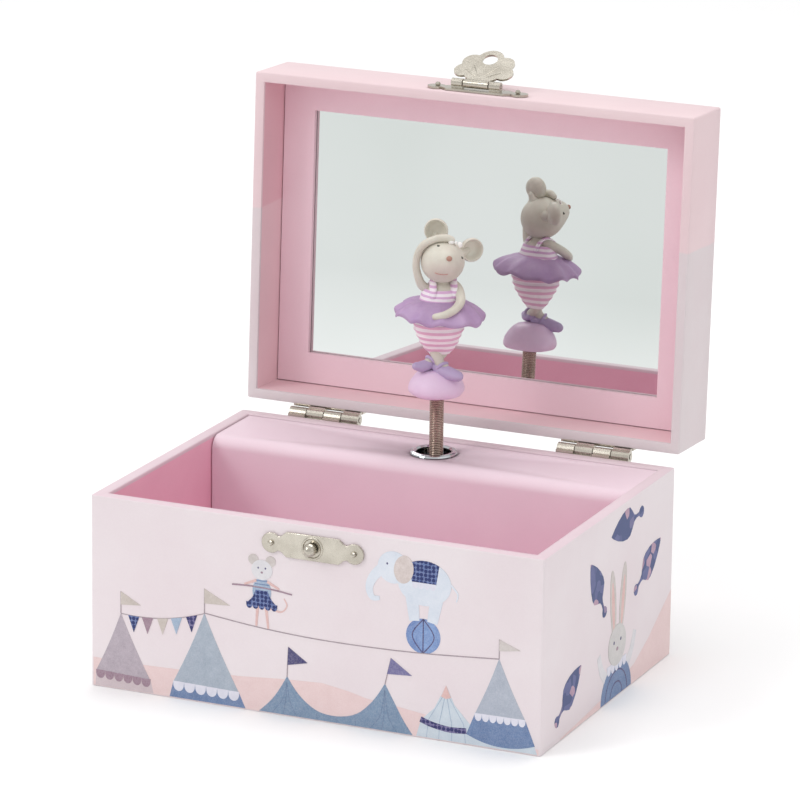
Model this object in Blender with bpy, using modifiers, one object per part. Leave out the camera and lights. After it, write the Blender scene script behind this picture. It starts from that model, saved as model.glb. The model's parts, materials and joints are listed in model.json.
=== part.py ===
"""Wind-up music box: a paper-covered case with a mirrored lid, a dancer on a coil spring and a
spring-driven movement. Metres, +Z up, +Y to the back, origin at the middle of the underside.
The lid stands open against its hinges."""

from math import cos, pi, radians, sin

import bmesh
import bpy
from mathutils import Matrix, Vector

MM = 0.001
FIT = 0.3 * MM                  # gap between touching pieces

# Case
WIDTH = 150 * MM
DEPTH = 107 * MM
BASE_HEIGHT = 61.5 * MM
WALL = 4 * MM
FLOOR = 3 * MM
LINING = 1 * MM
LID_HEIGHT = 23.5 * MM
LID_WALL = 3.2 * MM
LID_TOP = 3 * MM
RIM_GAP = 1.3 * MM
EDGE_ROUND = 0.5 * MM
LID_OPEN = radians(92.7)
MIRROR_DEPTH = 15.5 * MM        # lid rim to the front of the mirror frame
FRAME_BOARD = 1.6 * MM
MIRROR_GLASS = 2 * MM
MIRROR_WIDTH = 121.6 * MM
MIRROR_HEIGHT = 80 * MM

# Rear hinges
HINGE_LENGTH = 24.6 * MM
HINGE_SPACING = 93.4 * MM
HINGE_KNUCKLES = 4
KNUCKLE_RADIUS = 1.85 * MM
HINGE_PIN_RADIUS = 0.7 * MM
LEAF = 0.9 * MM
LEAF_DROP = 11 * MM
HINGE_Y = DEPTH / 2 + 2.6 * MM
HINGE_Z = BASE_HEIGHT + RIM_GAP / 2

# Clasp on the base and hasp on the lid
CLASP_Z = 54.8 * MM
CLASP_LENGTH = 34 * MM
CLASP_HEIGHT = 8 * MM
CLASP_NAILS = 27.4 * MM
PLATE = 0.7 * MM
KNOB_RADIUS = 2.1 * MM
KNOB_REACH = 3.85 * MM
FLAP_HOLE = 2.55 * MM
FLAP_REACH = 12.2 * MM          # hasp pin to the middle of the flap's hole
FLAP_RAISED = radians(150)      # from hanging over the knob
HASP_Z = CLASP_Z + FLAP_REACH
HASP_AXIS_OUT = 2.6 * MM        # hasp pin to the face of the lid wall
HASP_BARREL = 1.4 * MM
HASP_PIN_RADIUS = 0.55 * MM
NAIL_HEAD = 0.95 * MM
NAIL_SHANK = 0.45 * MM
NAIL_HOLE = 0.6 * MM
NAIL_LENGTH = 3 * MM
KNOB_STEM = 0.9 * MM
KNOB_DEPTH = 2.2 * MM            # how far the knob's stem goes into the wall
KNOB_HOLE = 1.2 * MM
HASP_LENGTH = 34 * MM
HASP_HEIGHT = 6.4 * MM
HASP_PLATE_RISE = 1 * MM        # plate's middle above the hasp pin
BARREL_SPAN = (4.6 * MM, 8.3 * MM)  # hasp barrels, either side of the middle
NAIL_FROM_EDGE = 3.2 * MM       # hinge nails to the far edge of a leaf

# Movement cover and dancer
COVER_FRONT = 22 * MM
COVER_BOARD = 2.5 * MM
COVER_TOP_BOARD = 3 * MM
COVER_TOP = BASE_HEIGHT - 0.6 * MM
COVER_ROUND = 4 * MM
SPINDLE_Y = 36.5 * MM
GROMMET_RADIUS = 7.65 * MM
GROMMET_BORE = 5.6 * MM
GROMMET_NECK = 6.15 * MM
COVER_HOLE = 6.5 * MM            # radius of the hole for the spring
COVER_END_GAP = 0.4 * MM
ARBOR_HOLE = 3.6 * MM            # radius of the key's hole in the rear wall
SPRING_RADIUS = 2.05 * MM
SPRING_FOOT = 59.4 * MM
SPRING_BEND_Z = 62.2 * MM
TILT_Z = 75.7 * MM
DANCER_FOOT = 77.6 * MM         # underside of the dome that the dancer stands on
DANCER_FACING = radians(28)

# Movement, bolted to the rear wall
BEDPLATE = 2.2 * MM
DRUM_Z = 34 * MM
DRUM_RADIUS = 10 * MM
DRUM_FRONT = 35.5 * MM
DRUM_BACK = 46.2 * MM
SPUR_TEETH = 27
SPUR_ROOT = 10.4 * MM
SPUR_TIP = 11.2 * MM
SPUR_FRONT = 43.2 * MM
SPUR_WIDTH = 2.5 * MM
FACE_RADIUS = 8.9 * MM
FACE_TEETH_HEIGHT = 0.9 * MM
CROWN_TEETH = 20
CROWN_RADIUS = 7.95 * MM
ARBOR_RADIUS = 1.8 * MM
KEY_WIDTH = 25 * MM
CYLINDER_Y = 31.55 * MM
CYLINDER_LEFT = 13.6 * MM
CYLINDER_RIGHT = 36 * MM
CYLINDER_RADIUS = 5.6 * MM
PIN_HEIGHT = 0.5 * MM
PINION_TEETH = 9
CYLINDER_GEAR_TEETH = 32
GOVERNOR_PINION_TEETH = 16
GOVERNOR_WHEEL_TEETH = 24
GOVERNOR_Z = DRUM_Z + 9.15 * MM
WORM_X = 40.8 * MM
WORM_Y = CYLINDER_Y + 7.4 * MM
COMB_NOTES = 18
COMB_THICK = 1.2 * MM
COMB_SCREW_Z = 12.7 * MM
COMB_SCREWS = (18.5 * MM, 31 * MM)
COMB_X = (CYLINDER_LEFT + 0.2 * MM, CYLINDER_RIGHT - 0.4 * MM)
COMB_Z = (10 * MM, 15.5 * MM, DRUM_Z - CYLINDER_RADIUS - PIN_HEIGHT - 0.4 * MM)
BEDPLATE_SCREWS = ((-13.5 * MM, 49 * MM), (43 * MM, 10 * MM))
CROWN_LOW = 46.2 * MM           # underside of the wheel on the dancer's spindle

REAR_INNER = DEPTH / 2 - WALL
CLASP_NAIL_PLACES = (-CLASP_NAILS / 2, CLASP_NAILS / 2)
HINGE_MIDDLES = {"left": -HINGE_SPACING / 2, "right": HINGE_SPACING / 2}
BASE_NAIL_Z = HINGE_Z - LEAF_DROP + NAIL_FROM_EDGE
LID_NAIL_Z = HINGE_Z + LEAF_DROP - NAIL_FROM_EDGE
BEDPLATE_BACK = REAR_INNER - FIT
BEDPLATE_FRONT = BEDPLATE_BACK - BEDPLATE

PARTS = bpy.data.collections.new("wind_up_music_box")
CUTTERS = bpy.data.collections.new("cutters")

COLOURS = {
    "printed_paper": ((0.80, 0.74, 0.76), 0.55, 0.0),
    "pink_paper": ((0.78, 0.42, 0.56), 0.6, 0.0),
    "mirror_silver": ((0.85, 0.87, 0.87), 0.03, 1.0),
    "nickel": ((0.60, 0.56, 0.49), 0.3, 1.0),
    "chrome": ((0.80, 0.80, 0.82), 0.12, 1.0),
    "spring_steel": ((0.42, 0.33, 0.28), 0.35, 1.0),
    "brass": ((0.72, 0.53, 0.24), 0.35, 1.0),
    "zinc": ((0.50, 0.50, 0.50), 0.5, 1.0),
    "white_nylon": ((0.86, 0.86, 0.83), 0.45, 0.0),
    "painted_resin": ((0.55, 0.38, 0.62), 0.45, 0.0),
}


# ---------------------------------------------------------------- helpers

def material(name):
    """The named finish, made once."""
    if name in bpy.data.materials:
        return bpy.data.materials[name]
    colour, roughness, metallic = COLOURS[name]
    made = bpy.data.materials.new(name)
    made.use_nodes = True
    shader = made.node_tree.nodes["Principled BSDF"]
    shader.inputs["Base Color"].default_value = (*colour, 1.0)
    shader.inputs["Roughness"].default_value = roughness
    shader.inputs["Metallic"].default_value = metallic
    return made


def mesh_of(*shapes):
    """One mesh from shape functions that each add a closed form to a bmesh."""
    form = bmesh.new()
    for shape in shapes:
        shape(form)
    mesh = bpy.data.meshes.new("shape")
    form.to_mesh(mesh)
    form.free()
    return mesh


def box(low, high):
    """A shape function for a box between two corners."""
    low, high = Vector(low), Vector(high)

    def add(form):
        made = bmesh.ops.create_cube(form, size=1)["verts"]
        bmesh.ops.scale(form, vec=high - low, verts=made)
        bmesh.ops.translate(form, vec=(low + high) / 2, verts=made)
    return add


def rod(start, end, radius, segments=16, end_radius=None):
    """A shape function for a cylinder, or a cone, from start to end."""
    start, end = Vector(start), Vector(end)

    def add(form):
        along = end - start
        turn = along.to_track_quat("Z", "Y").to_matrix().to_4x4()
        bmesh.ops.create_cone(
            form, cap_ends=True, segments=segments, radius1=radius,
            radius2=radius if end_radius is None else end_radius, depth=along.length,
            matrix=Matrix.Translation((start + end) / 2) @ turn)
    return add


def ball(centre, radius, scale=(1, 1, 1), segments=16, turn=Matrix.Identity(4)):
    """A shape function for a sphere, stretched along its own axes."""
    def add(form):
        bmesh.ops.create_uvsphere(
            form, u_segments=segments, v_segments=segments // 2, radius=radius,
            matrix=Matrix.Translation(centre) @ turn @ Matrix.Diagonal((*scale, 1)))
    return add


def mitred(low, high, inner, cut):
    """A wall board whose ends are mitred: its face on the inner side is shorter by cut."""
    low, high = Vector(low), Vector(high)
    axis, side = inner
    along = 1 - axis

    def add(form):
        made = bmesh.ops.create_cube(form, size=1)["verts"]
        bmesh.ops.scale(form, vec=high - low, verts=made)
        bmesh.ops.translate(form, vec=(low + high) / 2, verts=made)
        middle = (low + high) / 2
        for vert in made:
            if (vert.co[axis] - middle[axis]) * side > 0:
                vert.co[along] += -cut if vert.co[along] > middle[along] else cut
    return add


def outline_mesh(loops, thickness):
    """A flat closed form in XY, centred on Z, from an outer loop and any hole loops."""
    curve = bpy.data.curves.new("outline", "CURVE")
    curve.dimensions = "2D"
    curve.fill_mode = "BOTH"
    curve.extrude = thickness / 2
    for loop in loops:
        spline = curve.splines.new("POLY")
        spline.points.add(len(loop) - 1)
        for point, (x, y) in zip(spline.points, loop):
            point.co = (x, y, 0, 1)
        spline.use_cyclic_u = True
    return mesh_of_curve(curve)


def mesh_of_curve(curve):
    """A closed mesh from a curve whose caps are loose."""
    holder = bpy.data.objects.new("outline", curve)
    bpy.context.scene.collection.objects.link(holder)
    bpy.context.view_layer.update()
    evaluated = holder.evaluated_get(bpy.context.evaluated_depsgraph_get())
    mesh = bpy.data.meshes.new_from_object(evaluated)
    bpy.data.objects.remove(holder)
    bpy.data.curves.remove(curve)
    form = bmesh.new()
    form.from_mesh(mesh)
    bmesh.ops.remove_doubles(form, verts=form.verts, dist=0.001 * MM)
    bmesh.ops.recalc_face_normals(form, faces=form.faces)
    form.to_mesh(mesh)
    form.free()
    return mesh


def wire_mesh(points, radius, closed_tip=False):
    """A round wire through the points; closed_tip narrows its last point."""
    curve = bpy.data.curves.new("wire", "CURVE")
    curve.dimensions = "3D"
    curve.bevel_depth = radius
    curve.bevel_resolution = 1
    curve.use_fill_caps = True
    spline = curve.splines.new("POLY")
    spline.points.add(len(points) - 1)
    for point, place in zip(spline.points, points):
        point.co = (*place, 1)
    if closed_tip:
        spline.points[-1].radius = 0.7
    return mesh_of_curve(curve)


def arc(centre, radius, start, end, steps):
    """Points along an arc, angles in degrees."""
    angles = [radians(start + (end - start) * i / steps) for i in range(steps + 1)]
    return [(centre[0] + radius * cos(a), centre[1] + radius * sin(a)) for a in angles]


def gear_loop(teeth, root, tip, phase=0.0):
    """The outline of a gear whose first tooth is centred on phase, in radians."""
    pitch = 2 * pi / teeth
    loop = []
    for tooth in range(teeth):
        middle = phase + tooth * pitch
        for radius, share in ((root, -0.22), (tip, -0.11), (tip, 0.11), (root, 0.22)):
            angle = middle + share * pitch
            loop.append((radius * cos(angle), radius * sin(angle)))
    return loop


def face_teeth(teeth, inner, outer, low, high, width, phase=0.0):
    """Shape functions for teeth that stand on the flat face of a wheel, about Z."""
    shapes = []
    for tooth in range(teeth):
        turn = Matrix.Rotation(phase + 2 * pi * tooth / teeth, 4, "Z")

        def add(form, turn=turn):
            made = bmesh.ops.create_cube(form, size=1)["verts"]
            bmesh.ops.scale(form, vec=(outer - inner, width, high - low), verts=made)
            bmesh.ops.translate(form, vec=((inner + outer) / 2, 0, (low + high) / 2), verts=made)
            bmesh.ops.transform(form, matrix=turn, verts=made)
        shapes.append(add)
    return shapes


def empty(name, location, rotation=(0, 0, 0), parent=None):
    """A joint's axis; the pieces that move about it are its children."""
    made = bpy.data.objects.new(name, None)
    made.location = location
    made.rotation_euler = rotation
    made.parent = parent
    made.empty_display_size = 5 * MM
    PARTS.objects.link(made)
    return made


def add_object(name, mesh, finish, parent, place, turn):
    """A named piece in the parts collection."""
    made = bpy.data.objects.new(name, mesh)
    made.data.name = name
    made.data.materials.clear()
    made.data.materials.append(material(finish))
    made.parent = parent
    made.location = place
    made.rotation_euler = turn
    PARTS.objects.link(made)
    return made


def tool_object(name, mesh, owner):
    """A hidden form in the owner's own frame that its Booleans use."""
    made = bpy.data.objects.new(name, mesh)
    made.parent = owner.parent
    made.location = owner.location
    made.rotation_euler = owner.rotation_euler
    made.hide_render = True
    made.display_type = "WIRE"
    CUTTERS.objects.link(made)
    return made


def combine(made, joined, cut):
    """Boolean modifiers that add the joined forms to a piece and then take one form away."""
    steps = [("UNION", extra) for extra in joined]
    if cut:
        steps.append(("DIFFERENCE", cut))
    for number, (operation, form) in enumerate(steps):
        step = made.modifiers.new(operation.lower(), "BOOLEAN")
        step.operation = operation
        step.object = tool_object(f"{made.name}_{operation.lower()}_{number}", form, made)


def piece(name, mesh, finish, parent=None, place=(0, 0, 0), turn=(0, 0, 0),
          joined=(), cut=None, rounded=0.0):
    """A sub-part: a mesh with forms joined to it, one cutting form and rounded edges."""
    made = add_object(name, mesh, finish, parent, place, turn)
    combine(made, joined, cut)
    if rounded:
        bevel = made.modifiers.new("round", "BEVEL")
        bevel.width = rounded
        bevel.segments = 2
        bevel.limit_method = "ANGLE"
        bevel.angle_limit = radians(50)
    return made


def smooth(made, sharp=40):
    """Smooth shading with sharp edges kept."""
    made.data.shade_smooth()
    made.data.set_sharp_from_angle(angle=radians(sharp))
    return made


def turned(name, profile, finish, steps=24, parent=None, place=(0, 0, 0), turn=(0, 0, 0),
           joined=(), cut=None):
    """A turned piece about Z; the profile runs down its outer side at +X."""
    form = bmesh.new()
    verts = [form.verts.new((radius, 0, height)) for radius, height in profile]
    for first, second in zip(verts, verts[1:]):
        form.edges.new((first, second))
    if profile[0][0] > 0:
        form.edges.new((verts[-1], verts[0]))
    mesh = bpy.data.meshes.new(name)
    form.to_mesh(mesh)
    form.free()
    made = add_object(name, mesh, finish, parent, place, turn)
    screw = made.modifiers.new("turn", "SCREW")
    screw.steps = steps
    screw.render_steps = steps
    screw.use_merge_vertices = True
    screw.merge_threshold = 0.01 * MM
    combine(made, joined, cut)
    return made


# ---------------------------------------------------------------- case

def hinge_nail_places(middle):
    """X places of a hinge leaf's two nails."""
    return [middle - HINGE_LENGTH / 4 - 1 * MM, middle + HINGE_LENGTH / 4 + 1 * MM]


def base_walls():
    """The base's four mitred boards."""
    half_w, half_d = WIDTH / 2, DEPTH / 2
    top = BASE_HEIGHT
    gap = FIT / 2
    drill_front = [rod((x, -half_d - FIT, CLASP_Z), (x, -half_d + NAIL_LENGTH + FIT, CLASP_Z),
                       NAIL_HOLE, 8) for x in CLASP_NAIL_PLACES]
    drill_front.append(rod((0, -half_d - FIT, CLASP_Z),
                           (0, -half_d + KNOB_DEPTH + 0.4 * MM, CLASP_Z), KNOB_HOLE, 12))
    drill_rear = [rod((x, half_d + FIT, BASE_NAIL_Z), (x, half_d - NAIL_LENGTH - FIT, BASE_NAIL_Z),
                      NAIL_HOLE, 8)
                  for middle in HINGE_MIDDLES.values() for x in hinge_nail_places(middle)]
    drill_rear.append(rod((0, half_d + FIT, DRUM_Z), (0, REAR_INNER - FIT, DRUM_Z), ARBOR_HOLE, 24))
    for x, z in BEDPLATE_SCREWS:
        drill_rear.append(rod((x, REAR_INNER - FIT, z), (x, REAR_INNER + 2.6 * MM, z), 1.1 * MM, 12))
    front = mitred((-half_w + gap, -half_d, 0), (half_w - gap, -half_d + WALL, top), (1, 1), WALL)
    rear = mitred((-half_w + gap, half_d - WALL, 0), (half_w - gap, half_d, top), (1, -1), WALL)
    left = mitred((-half_w, -half_d + gap, 0), (-half_w + WALL, half_d - gap, top), (0, 1), WALL)
    right = mitred((half_w - WALL, -half_d + gap, 0), (half_w, half_d - gap, top), (0, -1), WALL)
    piece("base_front_wall", mesh_of(front), "printed_paper", cut=mesh_of(*drill_front))
    piece("base_rear_wall", mesh_of(rear), "printed_paper", cut=mesh_of(*drill_rear))
    piece("base_left_wall", mesh_of(left), "printed_paper", rounded=EDGE_ROUND / 4)
    piece("base_right_wall", mesh_of(right), "printed_paper", rounded=EDGE_ROUND / 4)


def base_inside():
    """Floor board, compartment pad and the cover over the movement."""
    half_w, half_d = WIDTH / 2 - WALL - FIT, DEPTH / 2 - WALL - FIT
    piece("base_floor", mesh_of(box((-half_w, -half_d, 0), (half_w, half_d, FLOOR))), "printed_paper")
    piece("compartment_lining",
          mesh_of(box((-half_w, -half_d, FLOOR + FIT),
                      (half_w, COVER_FRONT - FIT, FLOOR + FIT + LINING))),
          "pink_paper", rounded=EDGE_ROUND / 2)
    back = REAR_INNER - FIT
    corner = (COVER_FRONT + COVER_ROUND, COVER_TOP - COVER_ROUND)
    inner_round = COVER_ROUND - COVER_BOARD
    inner_corner = (COVER_FRONT + COVER_ROUND, COVER_TOP - COVER_TOP_BOARD - inner_round)
    profile = [(COVER_FRONT, FLOOR + FIT)]
    profile += arc(corner, COVER_ROUND, 180, 90, 6)
    profile += [(back, COVER_TOP), (back, COVER_TOP - COVER_TOP_BOARD)]
    profile += arc(inner_corner, inner_round, 90, 180, 3)
    profile += [(COVER_FRONT + COVER_BOARD, FLOOR + FIT)]
    # The outline lies in YZ: local X is world Y and local Y is world Z.
    cover = outline_mesh([profile], WIDTH - 2 * WALL - 2 * COVER_END_GAP)
    bore = mesh_of(rod((SPINDLE_Y, COVER_TOP - 8 * MM, 0), (SPINDLE_Y, COVER_TOP + 8 * MM, 0),
                       COVER_HOLE, 32))
    piece("movement_cover", cover, "pink_paper", turn=(pi / 2, 0, pi / 2), cut=bore)
    flange = [(GROMMET_RADIUS - 1 * MM, 1.0 * MM), (GROMMET_RADIUS - 0.25 * MM, 0.75 * MM),
              (GROMMET_RADIUS, FIT), (GROMMET_NECK, FIT),
              (GROMMET_NECK, -COVER_TOP_BOARD - 0.4 * MM),
              (GROMMET_BORE, -COVER_TOP_BOARD - 0.4 * MM), (GROMMET_BORE, 0.5 * MM),
              (GROMMET_BORE + 0.5 * MM, 1.0 * MM)]
    smooth(turned("platform_grommet", flange, "chrome", steps=32,
                  place=(0, SPINDLE_Y, COVER_TOP)))


def lid_parts(lid_axis):
    """Lid boards, mirror frame and glass, placed as with the lid shut, about the hinge axis."""
    shift = Vector((0, -HINGE_Y, -HINGE_Z))
    half_w, half_d = WIDTH / 2, DEPTH / 2
    low, top = BASE_HEIGHT + RIM_GAP, BASE_HEIGHT + RIM_GAP + LID_HEIGHT
    gap = FIT / 2
    wall = LID_WALL

    def shut(corner):
        return Vector(corner) + shift

    front = mitred(shut((-half_w + gap, -half_d, low)),
                   shut((half_w - gap, -half_d + wall, top)), (1, 1), wall)
    rear = mitred(shut((-half_w + gap, half_d - wall, low)),
                  shut((half_w - gap, half_d, top)), (1, -1), wall)
    left = mitred(shut((-half_w, -half_d + gap, low)),
                  shut((-half_w + wall, half_d - gap, top)), (0, 1), wall)
    right = mitred(shut((half_w - wall, -half_d + gap, low)),
                   shut((half_w, half_d - gap, top)), (0, -1), wall)
    drill_rear = [rod(shut((x, half_d + FIT, LID_NAIL_Z)), shut((x, half_d - NAIL_LENGTH + FIT, LID_NAIL_Z)),
                      NAIL_HOLE, 8)
                  for middle in HINGE_MIDDLES.values() for x in hinge_nail_places(middle)]
    plate_z = HASP_Z + HASP_PLATE_RISE
    drill_front = [rod(shut((x, -half_d - FIT, plate_z)),
                       shut((x, -half_d + NAIL_LENGTH - FIT, plate_z)), NAIL_HOLE, 8)
                   for x in CLASP_NAIL_PLACES]
    piece("lid_front_wall", mesh_of(front), "printed_paper", lid_axis, cut=mesh_of(*drill_front))
    piece("lid_rear_wall", mesh_of(rear), "printed_paper", lid_axis, cut=mesh_of(*drill_rear))
    piece("lid_left_wall", mesh_of(left), "printed_paper", lid_axis, rounded=EDGE_ROUND / 4)
    piece("lid_right_wall", mesh_of(right), "printed_paper", lid_axis, rounded=EDGE_ROUND / 4)
    in_w, in_d = half_w - wall - FIT, half_d - wall - FIT
    piece("lid_top_panel", mesh_of(box(shut((-in_w, -in_d, top - LID_TOP)), shut((in_w, in_d, top)))),
          "printed_paper", lid_axis)
    frame_low = low + MIRROR_DEPTH
    frame_high = frame_low + FRAME_BOARD
    window = box(shut((-MIRROR_WIDTH / 2, -MIRROR_HEIGHT / 2, frame_low - FIT)),
                 shut((MIRROR_WIDTH / 2, MIRROR_HEIGHT / 2, frame_high + FIT)))
    piece("mirror_frame", mesh_of(box(shut((-in_w, -in_d, frame_low)), shut((in_w, in_d, frame_high)))),
          "pink_paper", lid_axis, cut=mesh_of(window))
    over = 5 * MM
    piece("mirror_glass",
          mesh_of(box(shut((-MIRROR_WIDTH / 2 - over, -MIRROR_HEIGHT / 2 - over, frame_high + FIT)),
                      shut((MIRROR_WIDTH / 2 + over, MIRROR_HEIGHT / 2 + over,
                            frame_high + FIT + MIRROR_GLASS)))),
          "mirror_silver", lid_axis)


# ---------------------------------------------------------------- hardware

def nail(name, head_at, direction, parent=None):
    """A round-head nail; head_at is on the face of the plate that it holds."""
    head_at, direction = Vector(head_at), Vector(direction)
    lift = direction * -FIT / 2
    head = mesh_of(ball(head_at + lift - direction * 0.35 * MM, NAIL_HEAD, (1, 1, 0.75), 8,
                        direction.to_track_quat("Z", "Y").to_matrix().to_4x4()))
    shank = mesh_of(rod(head_at + lift - direction * 0.3 * MM, head_at + direction * NAIL_LENGTH,
                        NAIL_SHANK, 6, 0.15 * MM))
    trim = mesh_of(rod(head_at + lift, head_at + lift + direction * 2 * MM, NAIL_HEAD * 2, 8))
    made = add_object(name, head, "nickel", parent, (0, 0, 0), (0, 0, 0))
    for operation, form in (("DIFFERENCE", trim), ("UNION", shank)):
        step = made.modifiers.new(operation.lower(), "BOOLEAN")
        step.operation = operation
        step.object = tool_object(f"{name}_{operation.lower()}", form, made)
    return smooth(made)


def hinge(side, middle, lid_axis):
    """A butt hinge: two leaves with alternate knuckles, one pin and four nails."""
    start = middle - HINGE_LENGTH / 2
    step = HINGE_LENGTH / HINGE_KNUCKLES
    spots = [(start + step * i + FIT / 2, start + step * (i + 1) - FIT / 2) for i in range(HINGE_KNUCKLES)]
    face = DEPTH / 2 + 0.15 * MM
    axis = Vector((0, HINGE_Y, HINGE_Z))

    def leaf(name, mine, direction, parent, shift, hole_z):
        """direction is -1 for the leaf on the base and +1 for the one on the lid."""
        def at(x, y, z):
            return Vector((x, y, z)) + shift
        near = HINGE_Z + direction * (KNUCKLE_RADIUS + FIT)
        far = HINGE_Z + direction * LEAF_DROP
        plate = box(at(start, face, min(near, far)), at(start + HINGE_LENGTH, face + LEAF, max(near, far)))
        webs, rolls, bores = [], [], []
        for number in mine:
            x_low, x_high = spots[number]
            reach = near + direction * 0.5 * MM
            webs.append(box(at(x_low, face, min(HINGE_Z, reach)),
                            at(x_high, face + LEAF, max(HINGE_Z, reach))))
            rolls.append(rod(at(x_low, HINGE_Y, HINGE_Z), at(x_high, HINGE_Y, HINGE_Z), KNUCKLE_RADIUS, 14))
        bores.append(rod(at(start - FIT, HINGE_Y, HINGE_Z), at(start + HINGE_LENGTH + FIT, HINGE_Y, HINGE_Z),
                         HINGE_PIN_RADIUS + 0.2 * MM, 10))
        for x in hinge_nail_places(middle):
            bores.append(rod(at(x, face - FIT, hole_z), at(x, face + LEAF + FIT, hole_z), NAIL_HOLE, 8))
        piece(name, mesh_of(plate), "nickel", parent,
              joined=[mesh_of(*webs), mesh_of(*rolls)], cut=mesh_of(*bores))
        for number, x in enumerate(hinge_nail_places(middle), 1):
            nail(f"{name}_nail_{number}", at(x, face + LEAF, hole_z), (0, -1, 0), parent)

    leaf(f"{side}_hinge_base_leaf", (0, 2), -1, None, Vector(), BASE_NAIL_Z)
    leaf(f"{side}_hinge_lid_leaf", (1, 3), 1, lid_axis, -axis, LID_NAIL_Z)
    smooth(piece(f"{side}_hinge_pin",
                 mesh_of(rod((-HINGE_LENGTH / 2, 0, 0), (HINGE_LENGTH / 2, 0, 0), HINGE_PIN_RADIUS, 12)),
                 "nickel", place=(middle, HINGE_Y, HINGE_Z)))


def lobed_plate_loop(length, height, lobe, waist):
    """A plate outline with a broad middle and a round lobe at each end."""
    body = length / 2 - 2 * lobe - 0.2 * MM
    centre = length / 2 - lobe
    right = [(body - 1.2 * MM, -height / 2), (body, -height / 2 + 1.0 * MM), (body + 0.9 * MM, -waist / 2)]
    right += arc((centre, 0), lobe, -125, 125, 12)
    right += [(body + 0.9 * MM, waist / 2), (body, height / 2 - 1.0 * MM), (body - 1.2 * MM, height / 2)]
    left = [(-x, -y) for x, y in right]
    return right + left


def clasp():
    """Clasp plate with its ring boss and ball knob, nailed to the base's front wall."""
    face = -DEPTH / 2 - 0.15 * MM
    flat = outline_mesh([lobed_plate_loop(CLASP_LENGTH, CLASP_HEIGHT, 3.5 * MM, 4.6 * MM)], PLATE)
    # Stood up on the wall: local Y is world Z and local Z points out of the wall.
    ring = bpy.data.meshes.new("ring")
    form = bmesh.new()
    outer, inner, rise = 3.75 * MM, 2.8 * MM, 0.55 * MM
    steps = 24
    rows = []
    for radius, height in ((outer, 0), (outer - 0.35 * MM, rise), (inner + 0.3 * MM, rise), (inner, 0)):
        rows.append([form.verts.new((radius * cos(2 * pi * i / steps),
                                     radius * sin(2 * pi * i / steps), height))
                     for i in range(steps)])
    for row, following in zip(rows, rows[1:] + rows[:1]):
        for i in range(steps):
            j = (i + 1) % steps
            form.faces.new((row[i], row[j], following[j], following[i]))
    bmesh.ops.recalc_face_normals(form, faces=form.faces)
    form.to_mesh(ring)
    form.free()
    holes = [rod((x, 0, -PLATE), (x, 0, PLATE), NAIL_HOLE, 8) for x in CLASP_NAIL_PLACES]
    holes.append(rod((0, 0, -PLATE), (0, 0, PLATE), KNOB_HOLE, 12))
    piece("clasp_plate", flat, "nickel", place=(0, face - PLATE / 2, CLASP_Z), turn=(pi / 2, 0, 0),
          joined=[ring], cut=mesh_of(*holes))
    profile = [(0, KNOB_REACH)]
    profile += [(KNOB_RADIUS * sin(radians(a)), KNOB_REACH - KNOB_RADIUS * (1 - cos(radians(a))))
                for a in (20, 40, 60, 80, 100, 120)]
    # Under the ball the stem is straight from just above the plate into the wall.
    profile += [(KNOB_STEM, KNOB_REACH - 1.52 * KNOB_RADIUS), (KNOB_STEM, -PLATE - KNOB_DEPTH),
                (0, -PLATE - KNOB_DEPTH)]
    smooth(turned("clasp_knob", profile, "nickel", steps=20,
                  place=(0, face - PLATE, CLASP_Z), turn=(pi / 2, 0, 0)))
    for number, x in enumerate(CLASP_NAIL_PLACES, 1):
        nail(f"clasp_nail_{number}", (x, face - PLATE, CLASP_Z), (0, 1, 0))


def flap_loop():
    """A fan-shaped flap with five scallops; local -Y runs from the pin to the tip."""
    half_neck, half_width, reach = 5.6 * MM, 10.4 * MM, 15.4 * MM
    tongue = 4.3 * MM
    clear = HASP_BARREL + FIT
    side = [(tongue, -clear + 0.4 * MM), (tongue, -clear), (half_neck, -clear),
            (half_neck + 0.4 * MM, -2.6 * MM)]
    lobes = [((7.6 * MM, -6.6 * MM), 2.9 * MM, -65, 45), ((5.6 * MM, -10.6 * MM), 2.7 * MM, -75, 38),
             ((0, -12.2 * MM), 3.3 * MM, -90, 35)]
    for centre, radius, start, end in lobes:
        side += list(reversed(arc(centre, radius, start, end, 6)))
    trimmed = [(min(x, half_width), max(y, -reach)) for x, y in side]
    mirrored = [(-x, y) for x, y in reversed(trimmed[:-1])]
    return trimmed + mirrored


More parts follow.
